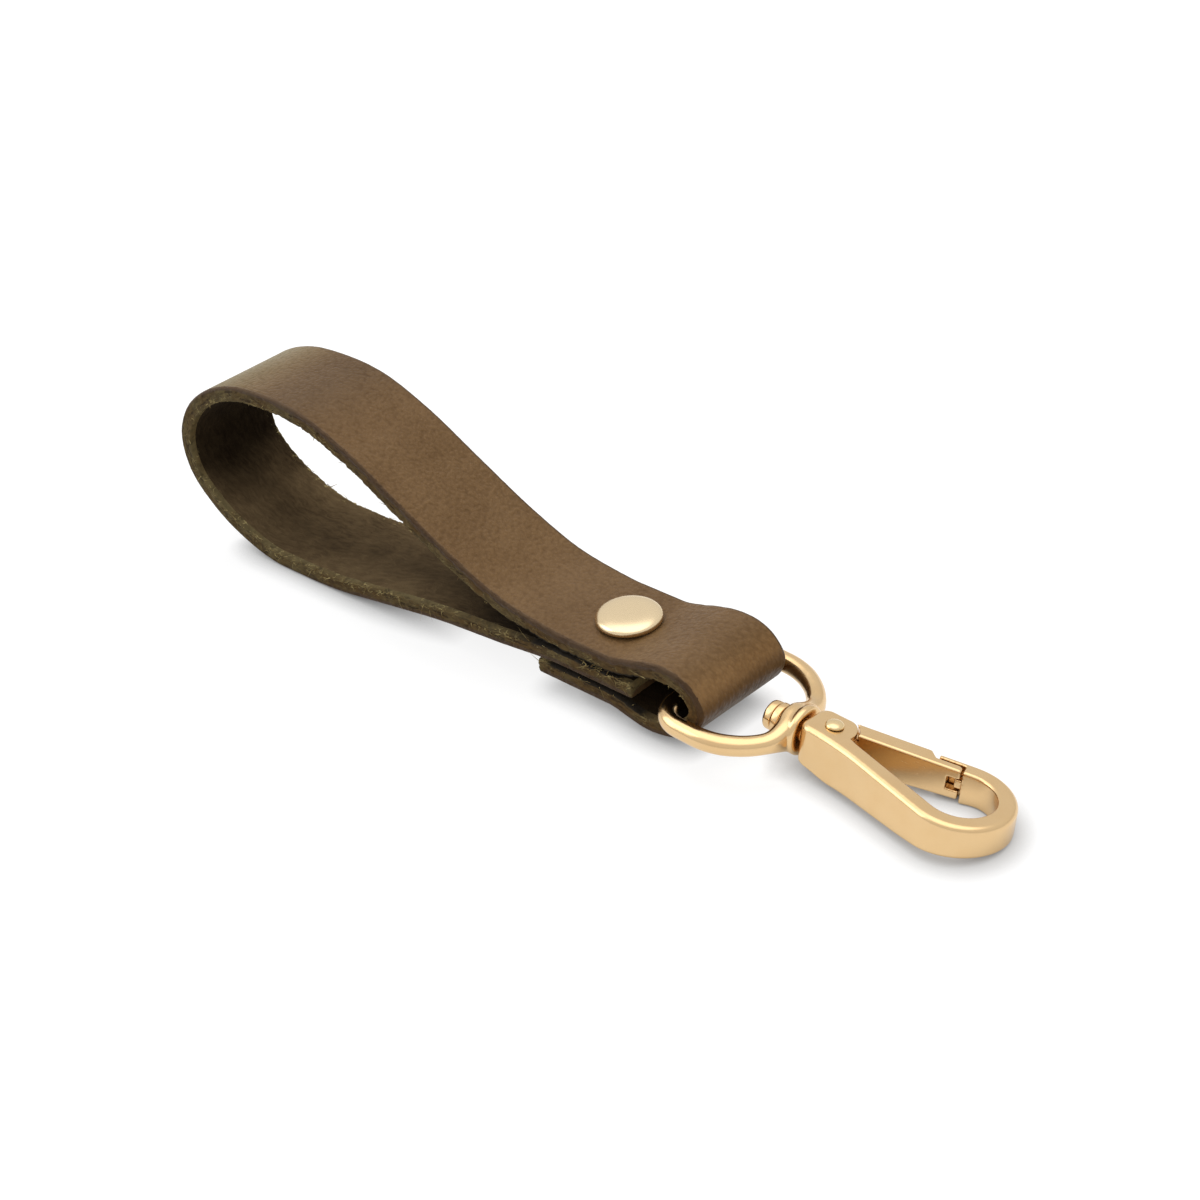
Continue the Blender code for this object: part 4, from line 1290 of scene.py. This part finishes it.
HOOK_BEYOND_GATE = 10.8 * MM
GATE_LENGTH = 19.9 * MM
HOOK_LENGTH = PIN_X + GATE_LENGTH + HOOK_BEYOND_GATE
HOOK_END_RADIUS = 8.4 * MM
HOOK_BAR = 3.0 * MM
HOOK_NECK_HALF_WIDTH = 3.6 * MM
HOOK_NECK_LENGTH = 6.7 * MM
HOOK_NECK_HEIGHT = 6.75 * MM
HOOK_END_HEIGHT = 4.2 * MM
BOSS_RADIUS = 3.5 * MM
BOW_RISE = 7.0 * MM
TAIL_STARTS = 0.6
OPENING_ROUNDS_OVER = 1.5 * MM
LEAST_OPENING_ROUND = 0.2
NOSE_ROUND = 0.25 * MM
LIP_LENGTH = 4.2 * MM
LIP_THICKNESS = 1.15 * MM
TONGUE_LENGTH = 1.2 * MM
TONGUE_HEIGHT = 1.5 * MM
NOTCH_DEPTH = 1.9 * MM
CHEEK = 1.3 * MM
KNUCKLE_RADIUS = 1.9 * MM
KNUCKLE_PLATE = 0.65 * MM
WEB_HIGH = radians(55.0)
WEB_SLACK = radians(5.0)
SLOT_LOW_SHARE = 0.8
PIN_RADIUS = 0.9 * MM
PIN_HEAD_RADIUS = 1.45 * MM
PIN_HEAD_HEIGHT = 0.6 * MM
PIN_TAIL_RADIUS = 1.35 * MM
PIN_TAIL_HEIGHT = 0.35 * MM
CUT_OVERRUN = 1.0 * MM

END_X = HOOK_LENGTH - HOOK_END_RADIUS
INNER_RADIUS = HOOK_END_RADIUS - HOOK_BAR
SIDE_RUN = hypot(END_X - HOOK_NECK_LENGTH, HOOK_NECK_HALF_WIDTH)
SIDE_ANGLE = asin(HOOK_END_RADIUS / SIDE_RUN) - atan2(
    HOOK_NECK_HALF_WIDTH, END_X - HOOK_NECK_LENGTH
)


def side_point(along, inset):
    """A point of the hook's gate side: along its edge from the neck, and inset from it."""
    x = HOOK_NECK_LENGTH + along * cos(SIDE_ANGLE) + inset * sin(SIDE_ANGLE)
    y = HOOK_NECK_HALF_WIDTH + along * sin(SIDE_ANGLE) - inset * cos(SIDE_ANGLE)
    return (x, y)


def along_at_radius(radius, inset):
    """How far along the side a line inset from it lies at a radius from the pin."""
    x, y = side_point(0.0, inset)
    dx = x - PIN_X
    towards = dx * cos(SIDE_ANGLE) + y * sin(SIDE_ANGLE)
    return sqrt(radius ** 2 - dx ** 2 - y ** 2 + towards ** 2) - towards


def point_at_radius(radius, inset):
    return side_point(along_at_radius(radius, inset), inset)


def angle_of(point):
    """The direction of a point from the pin."""
    return atan2(point[1], point[0] - PIN_X)


def half_height(x):
    """The hook tapers from its neck to its round end."""
    return (HOOK_NECK_HEIGHT + (HOOK_END_HEIGHT - HOOK_NECK_HEIGHT) * x / HOOK_LENGTH) / 2


SLOT_HALF = half_height(PIN_X) - CHEEK
RECESS_HALF = SLOT_HALF - RUNNING_GAP - KNUCKLE_PLATE
NOSE_FACE = GATE_LENGTH + SEAT_GAP
LIP_START = along_at_radius(NOSE_FACE, LIP_THICKNESS) - LIP_LENGTH
OPENING_ROOT = angle_of(point_at_radius(BOSS_RADIUS, HOOK_BAR))


def hook_lines(settings):
    """The hook's outer line and its opening's line, point by point side by side.

    Where the neck meets the side, the outer line is a parabola between the two tangents:
    (1 - t)**2 * first + 2 * t * (1 - t) * corner + t**2 * last.
    """
    ease = settings.neck_round
    corner = (ease, HOOK_NECK_HALF_WIDTH - ease)
    bend = np.array((HOOK_NECK_LENGTH, HOOK_NECK_HALF_WIDTH))
    first = bend - (settings.neck_bend, 0.0)
    last = np.array(side_point(settings.neck_bend, 0.0))
    t = np.linspace(0, 1, 12)[:, None]
    curve = (1 - t) ** 2 * first + 2 * t * (1 - t) * bend + t ** 2 * last
    neck = np.vstack([[(0.0, 0.0)], arc(corner, ease, pi, pi / 2, 8), curve])
    outer_arc = arc((END_X, 0.0), HOOK_END_RADIUS, pi / 2 + SIDE_ANGLE, 0.0, 60)
    inner_arc = arc((END_X, 0.0), INNER_RADIUS, pi / 2 + SIDE_ANGLE, 0.0, 60)
    start = point_at_radius(BOSS_RADIUS, HOOK_BAR)
    root = arc((PIN_X, 0.0), BOSS_RADIUS, 0.0, angle_of(start), 20)
    outer = [evenly(neck, 90), evenly([neck[-1], outer_arc[0]], 61)[1:], outer_arc[1:]]
    inner = [evenly(root, 60), evenly([start, inner_arc[0]], 91)[1:], inner_arc[1:]]
    return both_sides(np.vstack(outer)), both_sides(np.vstack(inner))


def hook_ring(name, settings):
    """A tall flat bar with rounded rims, carried round between the two lines and tapered.

    A rim's points lie at radius * (1 - cos) in from its line and radius * (1 - sin) down
    from the face; between the rims each face is flat.
    """
    outer, inner = hook_lines(settings)
    outer, inner = drop_twins(outer, inner)
    outer, inner = eased(outer, 4), eased(inner, 3)
    inward, outward = -left_normals(outer), left_normals(inner)
    big = settings.rim_round
    from_pin = np.hypot(inner[:, 0] - PIN_X, inner[:, 1])
    open_from_boss = ramp(from_pin, BOSS_RADIUS, BOSS_RADIUS + OPENING_ROUNDS_OVER)
    small = settings.opening_round * np.maximum(open_from_boss, LEAST_OPENING_ROUND)[:, None]
    turn = np.linspace(0, pi / 2, 8)
    spread = np.linspace(0, 1, 6)[1:-1]
    high, low = outer + inward * big, inner + outward * small
    upper = rim_rows(outer, inward, big, turn)
    upper += [(high * (1 - t) + low * t, 0.0) for t in spread]
    upper += rim_rows(inner, outward, small, turn[::-1])
    columns = [at_height(point, drop, 1.0) for point, drop in upper]
    under = rim_rows(outer, inward, settings.foot_round, turn)
    under += upper[len(turn):]
    columns += [at_height(point, drop, -1.0, settings.fuller) for point, drop in under[::-1]]
    points = np.stack(columns, axis=1)
    quads = grid_quads(*points.shape[:2], last_row_meets_first=True)
    return new_object(name, placed(points, HOOK), quads)


def rim_rows(line, inward, ease, angles):
    """Rows of a rounded rim, each with how far it lies below the face."""
    rows = []
    for angle in angles:
        drop = np.ravel(ease * (1 - sin(angle))) + 0 * line[:, 0]
        rows.append((line + inward * ease * (1 - cos(angle)), drop))
    return rows


def at_height(point, drop, sign, fuller=0.0):
    """A rim's points over or under the middle; fuller bows the face out, down to the floor.

    The bow rises softly past the neck and halves toward the round end.
    """
    middle = HOOK.translation.z + HOOK[2][0] * point[:, 0] + HOOK[2][1] * point[:, 1]
    room = middle / HOOK[2][2] - half_height(point[:, 0]) - RUNNING_GAP
    tail = ramp(point[:, 0] / HOOK_LENGTH, TAIL_STARTS, 1.0)
    bow = fuller * soft(ramp(point[:, 0], 0.0, BOW_RISE)) * (1 - tail / 2)
    bow = np.minimum(bow, np.maximum(room, 0))
    return np.column_stack([point, sign * (half_height(point[:, 0]) - drop + bow)])


def drop_twins(*lines):
    """Drops, from lines that run side by side, each point that repeats the one before it."""
    keep = np.zeros(len(lines[0]), bool)
    for line in lines:
        keep |= np.hypot(*(line - np.roll(line, 1, axis=0)).T) > SAME_PLACE
    return [line[keep] for line in lines]


def gate_gap_outline():
    """What is cut from the whole hook to leave room for the gate, with the lip outside it."""
    inside = HOOK_BAR + CUT_OVERRUN
    nose = angle_of(point_at_radius(NOSE_FACE, LIP_THICKNESS))
    opening = angle_of(point_at_radius(NOSE_FACE, inside))
    lip_end = [
        side_point(LIP_START, -2 * CUT_OVERRUN),
        side_point(LIP_START, LIP_THICKNESS),
    ]
    return np.vstack(
        [
            arc((PIN_X, 0.0), BOSS_RADIUS, OPENING_ROOT, pi / 2, 24),
            [(PIN_X, HOOK_NECK_HALF_WIDTH + 2 * CUT_OVERRUN)],
            [side_point(0.0, -2 * CUT_OVERRUN)],
            lip_end,
            arc((PIN_X, 0.0), NOSE_FACE, nose, opening, 8),
            [point_at_radius(BOSS_RADIUS + CUT_OVERRUN, inside)],
        ]
    )


def knuckle_outline(radius, low, high, reach):
    """A disc round the pin with a web that fans out between two directions."""
    disc = arc((PIN_X, 0.0), radius, high, low + 2 * pi, 32)
    return np.vstack([disc, arc((PIN_X, 0.0), reach, low, high, 10)])


def post_profile():
    """The swivel post: inside the neck, through the hub and the washer, to its peened end."""
    root = 0.8 * MM + SEAT_GAP
    shank = -(SEAT_GAP + HUB_LENGTH + WASHER_THICKNESS + 2 * RUNNING_GAP)
    end = shank - PEENED_THICKNESS
    ease, edge = 0.45 * MM, 0.15 * MM
    head = arc((PEENED_RADIUS - ease, end + ease), ease, 0.0, -pi / 2, 6)
    near = arc((PEENED_RADIUS - edge, shank - edge), edge, pi / 2, 0.0, 3)
    crown = [((PEENED_RADIUS - ease) * 0.5, end - 0.12 * MM), (0.0, end - 0.16 * MM)]
    return np.vstack(
        [[(0.0, root), (SWIVEL_POST_RADIUS, root), (SWIVEL_POST_RADIUS, shank)], near, head, crown]
    )


def make_hook(settings):
    """The ring of bar with the gate's gap, knuckle slot and pin hole cut, post and nose added."""
    body = hook_ring("hook_casting", settings)
    over = HOOK_NECK_HEIGHT / 2 + CUT_OVERRUN
    combine(body, prism("gap", gate_gap_outline(), -over, over, HOOK), "DIFFERENCE")
    low = -OPENING_ROOT * SLOT_LOW_SHARE
    reach = BOSS_RADIUS + CUT_OVERRUN
    slot = knuckle_outline(KNUCKLE_RADIUS + SEAT_GAP, low, WEB_HIGH + WEB_SLACK, reach)
    combine(body, prism("slot", slot, -SLOT_HALF, SLOT_HALF, HOOK), "DIFFERENCE")
    bore = rod("pin_hole", PIN_RADIUS + RUNNING_GAP, -over, over, PIN, 32)
    combine(body, bore, "DIFFERENCE")
    combine(body, turned("post", post_profile(), HOOK, 64, along_x=True), "UNION")
    deep, front = NOSE_FACE + CUT_OVERRUN, NOSE_FACE - TONGUE_LENGTH
    outer, inner = LIP_THICKNESS + SEAT_GAP, HOOK_BAR - SEAT_GAP
    corners = [
        point_at_radius(deep, inner), point_at_radius(deep, outer),
        point_at_radius(front, outer), point_at_radius(front, inner),
    ]
    nose = rounded_corners(corners, (0.0, 0.0, NOSE_ROUND, NOSE_ROUND))
    half = TONGUE_HEIGHT / 2
    combine(body, prism("nose", nose, -half, half, HOOK), "UNION")
    return tumbled(body, settings.voxel, settings.ease)


def tumbled(obj, voxel, rounds):
    """Remeshes a casting evenly and smooths it, which rounds its cut edges as tumbling does."""
    add_remesh(obj, voxel)
    add_smoothing(obj, "tumble", rounds)
    return apply_modifiers(obj)


def rounded_plate(name, outline, ease):
    """An outline with flat tapered faces and rounded rims, in the hook's frame."""
    rows = rim_rows(outline, left_normals(outline), ease, np.linspace(0, pi / 2, 6))
    rings = [at_height(point, drop, -1.0) for point, drop in rows[::-1]]
    rings += [at_height(point, drop, 1.0) for point, drop in rows]
    points = np.stack(rings)
    first, last = np.arange(points[..., 0].size).reshape(points.shape[:2])[[0, -1]]
    return new_object(name, placed(points, HOOK), [*grid_quads(*points.shape[:2]), first, last])


def gate_outline():
    """The gate: round its hinge, flush with the hook's side, stepped in under the lip."""
    root = BOSS_RADIUS + SEAT_GAP
    step = LIP_THICKNESS + SEAT_GAP
    first = angle_of(point_at_radius(root, HOOK_BAR))
    last = angle_of(point_at_radius(root, 0.0))
    hinge = arc((PIN_X, 0.0), root, first, last, 12)
    outer_tip = point_at_radius(GATE_LENGTH, step)
    inner_tip = point_at_radius(GATE_LENGTH, HOOK_BAR)
    corners = [*hinge, side_point(LIP_START - step, 0.0), side_point(LIP_START - SEAT_GAP, step)]
    corners += [outer_tip, inner_tip]
    millimetres = [0.25, *[0.0] * (len(hinge) - 2), 0.3, 0.3, 0.15, 0.8, 0.3]
    outline = rounded_corners(corners, [radius * MM for radius in millimetres])
    return evenly(outline, 420, closed=True)[::-1]


def make_gate(settings):
    """The gate's plate with its two knuckle plates, pin hole, spring recess and nose notch."""
    gate = rounded_plate("gate_casting", gate_outline(), settings.gate_round)
    plates = SLOT_HALF - RUNNING_GAP
    reach = BOSS_RADIUS + 2 * SEAT_GAP
    knuckle = knuckle_outline(KNUCKLE_RADIUS, OPENING_ROOT, WEB_HIGH, reach)
    combine(gate, prism("knuckle", knuckle, -plates, plates, HOOK), "UNION")
    recess = rod("recess", KNUCKLE_RADIUS + SEAT_GAP, -RECESS_HALF, RECESS_HALF, PIN, 48)
    combine(gate, recess, "DIFFERENCE")
    high = HOOK_NECK_HEIGHT
    combine(gate, rod("gate_hole", PIN_RADIUS + RUNNING_GAP, -high, high, PIN, 32), "DIFFERENCE")
    far, near = GATE_LENGTH + CUT_OVERRUN, GATE_LENGTH - NOTCH_DEPTH
    notch = [
        point_at_radius(near, HOOK_BAR + CUT_OVERRUN), point_at_radius(far, HOOK_BAR + CUT_OVERRUN),
        point_at_radius(far, -CUT_OVERRUN), point_at_radius(near, -CUT_OVERRUN),
    ]
    half = TONGUE_HEIGHT / 2 + SEAT_GAP
    combine(gate, prism("notch", notch, -half, half, HOOK), "DIFFERENCE")
    return tumbled(gate, 0.75 * settings.voxel, settings.ease)


def make_pin():
    """The hinge pin: a domed head on a short rim, a shank and a flat peened tail."""
    top = half_height(PIN_X) + RUNNING_GAP
    rim = 0.12 * MM
    high = 1.25 * PIN_HEAD_HEIGHT
    turn = np.linspace(pi / 2, 0, 14)
    head = np.column_stack(
        [PIN_HEAD_RADIUS * np.cos(turn), top + rim + (high - rim) * np.sin(turn)]
    )
    tail = arc((PIN_TAIL_RADIUS - rim, -top - PIN_TAIL_HEIGHT + rim), rim, 0.0, -pi / 2, 4)
    rest = [(PIN_HEAD_RADIUS, top), (PIN_RADIUS, top), (PIN_RADIUS, -top), (PIN_TAIL_RADIUS, -top)]
    end = [(0.0, -top - PIN_TAIL_HEIGHT)]
    return turned("hinge_pin", np.vstack([head, rest, tail, end]), PIN, 64)


def make_washer():
    """The washer under the peened end, with eased rims."""
    high = -(SEAT_GAP + HUB_LENGTH + RUNNING_GAP)
    low = high - WASHER_THICKNESS
    ease = 0.22 * MM
    bore = SWIVEL_POST_RADIUS + RUNNING_GAP
    upper = arc((WASHER_RADIUS - ease, high - ease), ease, pi / 2, 0.0, 5)
    lower = arc((WASHER_RADIUS - ease, low + ease), ease, 0.0, -pi / 2, 5)
    profile = np.vstack([[(bore, high)], upper, lower, [(bore, low), (bore, high)]])
    return turned("washer_casting", profile, HOOK, 96, along_x=True)


class KEYCHAIN_OT_hook(bpy.types.Operator):
    """Makes the hook with its swivel post and washer, its hinge pin and its gate"""

    bl_idname = "keychain.hook"
    bl_label = "Trigger hook"

    def execute(self, context):
        settings = context.scene.keychain_hook
        tone = tuple(settings.gold)
        gold = satin_gold("satin_gold_hook", tone, 0.24, settings.streak)
        finished(make_hook(settings), gold, "hook", ["hook_body"], sharp=75.0)
        finished(make_washer(), gold, "hook", ["swivel_washer"])
        gate = satin_gold("satin_gold_gate", tone, 0.24, min(1.0, 2 * settings.streak))
        finished(make_gate(settings), gate, "gate", ["gate"], sharp=75.0)
        pin = polished_gold("polished_gold_pin", tuple(settings.pin_gold))
        finished(make_pin(), pin, "hook", ["gate_pin"])
        repaint("gate_spring", drawn_steel(tuple(settings.steel)))
        return {"FINISHED"}


# The stage

CAMERA_PLACE = (261.14 * MM, -185.83 * MM, 187.13 * MM)
CAMERA_RIGHT = (0.73427, 0.67185, -0.09732)
CAMERA_UP = (-0.30767, 0.45713, 0.83449)
SENSOR = 36.0
NEAR_CLIP, FAR_CLIP = 0.01, 20.0
FLOOR_REACH = 1.6
FLOOR_RISE = 0.02
FLOOR_STEPS = 41
FLOOR_BELOW = 0.02 * MM
FLOOR_GRAIN = (0.45, 0.45, 0.45)
BLACK, WHITE = (0.0, 0.0, 0.0), (1.0, 1.0, 1.0)
LAMP_TARGET = (0.06, 0.0, 0.01)
# Each lamp's name, place, width, and whether it shines in gloss only
LAMPS = (
    ("key", (-0.23, 0.22, 0.54), 0.6, False),
    ("fill", (0.55, -0.35, 0.35), 0.45, False),
    ("glint", (-0.28, -0.3, 0.34), 0.4, True),
)


def make_floor(settings):
    """A pale sheet, flat under the object, that rises a little far away: (r / reach) ** 6."""
    steps = np.linspace(-FLOOR_REACH, FLOOR_REACH, FLOOR_STEPS)
    x, y = np.meshgrid(steps, steps, indexing="ij")
    away = np.hypot(x, y) / FLOOR_REACH
    points = np.stack([x, y, FLOOR_RISE * away ** 6 - FLOOR_BELOW], axis=-1)
    upward = np.roll(grid_quads(*x.shape, open_rows=True)[:, ::-1], 1, axis=1)
    mesh = bpy.data.meshes.new("pale_floor")
    mesh.from_pydata(points.reshape(-1, 3).tolist(), [], upward.tolist())
    mesh.shade_smooth()
    floor = bpy.data.objects.new("pale_floor", mesh)
    bpy.context.scene.collection.objects.link(floor)
    mesh.materials.append(floor_finish(settings))


def light_paths(bench):
    """1 for rays of the camera, 1 for those of gloss and 1 for those through glass."""
    return [bench.node("ShaderNodeLightPath", output=name) for name in
            ("Is Camera Ray", "Is Glossy Ray", "Is Transmission Ray")]


def floor_finish(settings):
    """Pale sheet, lifted to white for the camera and gloss except close under the object."""
    bench = new_bench("pale_floor")
    grain = bench.noise(bench.object_place(), 900.0, 2.0, 0.5)
    tone = bench.mixed(grain * 0.02, tuple(settings.floor), FLOOR_GRAIN)
    open_sky = bench.node(
        "ShaderNodeAmbientOcclusion", {"samples": 8}, {"Distance": settings.contact}, 1
    )
    camera, gloss, glass = light_paths(bench)
    glow = bench.mixed((camera + gloss + glass) * open_sky, BLACK, WHITE)
    glowing = {
        "Specular IOR Level": 0.0, "Emission Color": glow, "Emission Strength": settings.lift
    }
    return bench.surface(tone, 0.9, glowing)


def make_lamp(name, place, width, gloss_only, power):
    """A soft square lamp that looks at the middle of the keychain, seen in gloss or by the rest."""
    lamp = bpy.data.lights.new(name, "AREA")
    lamp.shape = "SQUARE"
    lamp.size = width
    lamp.energy = power
    obj = bpy.data.objects.new(name, lamp)
    obj.visible_glossy = gloss_only
    obj.visible_diffuse = not gloss_only
    toward = Vector(LAMP_TARGET) - Vector(place)
    obj.location = place
    obj.rotation_euler = toward.to_track_quat("-Z", "Y").to_euler()
    bpy.context.scene.collection.objects.link(obj)


def make_world(settings):
    """Even pale light, white past the floor; in gloss dimmer walls and a bright soft ceiling."""
    world = bpy.data.worlds.new("studio")
    bpy.context.scene.world = world
    bench = Bench(world)
    camera, gloss, glass = light_paths(bench)
    toward = bench.node("ShaderNodeTexCoord", output=0)
    height = bench.node("ShaderNodeSeparateXYZ", (), {0: toward}, 2)
    room = settings.walls + height.between(0.1, 0.5) * (settings.high_walls - settings.walls)
    room += height.between(0.7, 0.92) * (settings.ceiling - settings.high_walls)
    level = settings.sky + camera * (1.0 - settings.sky) + glass * (1.0 - settings.sky)
    level += gloss * (room - settings.sky)
    light = bench.node("ShaderNodeBackground", (), {"Color": full(WHITE), "Strength": level})
    bench.node("ShaderNodeOutputWorld", (), {"Surface": light})


def make_camera(settings):
    """The camera at the photograph's place, from its right and up directions."""
    right, up = Vector(CAMERA_RIGHT), Vector(CAMERA_UP)
    place = Matrix((right, up, right.cross(up))).transposed().to_4x4()
    place.translation = Vector(CAMERA_PLACE)
    camera = bpy.data.cameras.new("studio_camera")
    camera.lens = settings.lens
    camera.sensor_width = SENSOR
    camera.clip_start, camera.clip_end = NEAR_CLIP, FAR_CLIP
    obj = bpy.data.objects.new("studio_camera", camera)
    obj.matrix_world = place
    bpy.context.scene.collection.objects.link(obj)
    bpy.context.scene.camera = obj


class KEYCHAIN_OT_stage(bpy.types.Operator):
    """Makes the pale floor, the soft lamps, the world and the camera"""

    bl_idname = "keychain.stage"
    bl_label = "Stage"

    def execute(self, context):
        settings = context.scene.keychain_stage
        make_floor(settings)
        for name, place, width, gloss_only in LAMPS:
            make_lamp(name + "_lamp", place, width, gloss_only, getattr(settings, name))
        make_world(settings)
        make_camera(settings)
        context.scene.view_settings.view_transform = "Standard"
        return {"FINISHED"}


# The add-on


class KEYCHAIN_PT_panel(bpy.types.Panel):
    """Lists the pieces, each with its settings"""

    bl_idname = "KEYCHAIN_PT_panel"
    bl_label = "Loop keychain"
    bl_space_type = "VIEW_3D"
    bl_region_type = "UI"
    bl_category = "Keychain"

    def draw(self, context):
        for operator in OPERATORS:
            box = self.layout.box()
            box.operator(operator.bl_idname)
            settings = getattr(context.scene, "keychain_" + operator.bl_idname.split(".")[1])
            for key in type(settings).__annotations__:
                box.prop(settings, key)


OPERATORS = (
    KEYCHAIN_OT_strap,
    KEYCHAIN_OT_rivet,
    KEYCHAIN_OT_ring,
    KEYCHAIN_OT_hook,
    KEYCHAIN_OT_stage,
)
CLASSES = (*SETTINGS.values(), *OPERATORS, KEYCHAIN_PT_panel)


def register():
    for each in CLASSES:
        bpy.utils.register_class(each)
    for key, group in SETTINGS.items():
        setattr(bpy.types.Scene, key, bpy.props.PointerProperty(type=group))


def unregister():
    for key in SETTINGS:
        delattr(bpy.types.Scene, key)
    for each in reversed(CLASSES):
        bpy.utils.unregister_class(each)


def main():
    register()
    bpy.ops.keychain.strap()
    bpy.ops.keychain.rivet()
    bpy.ops.keychain.ring()
    bpy.ops.keychain.hook()
    bpy.ops.keychain.stage()


if __name__ == "__main__":
    main()
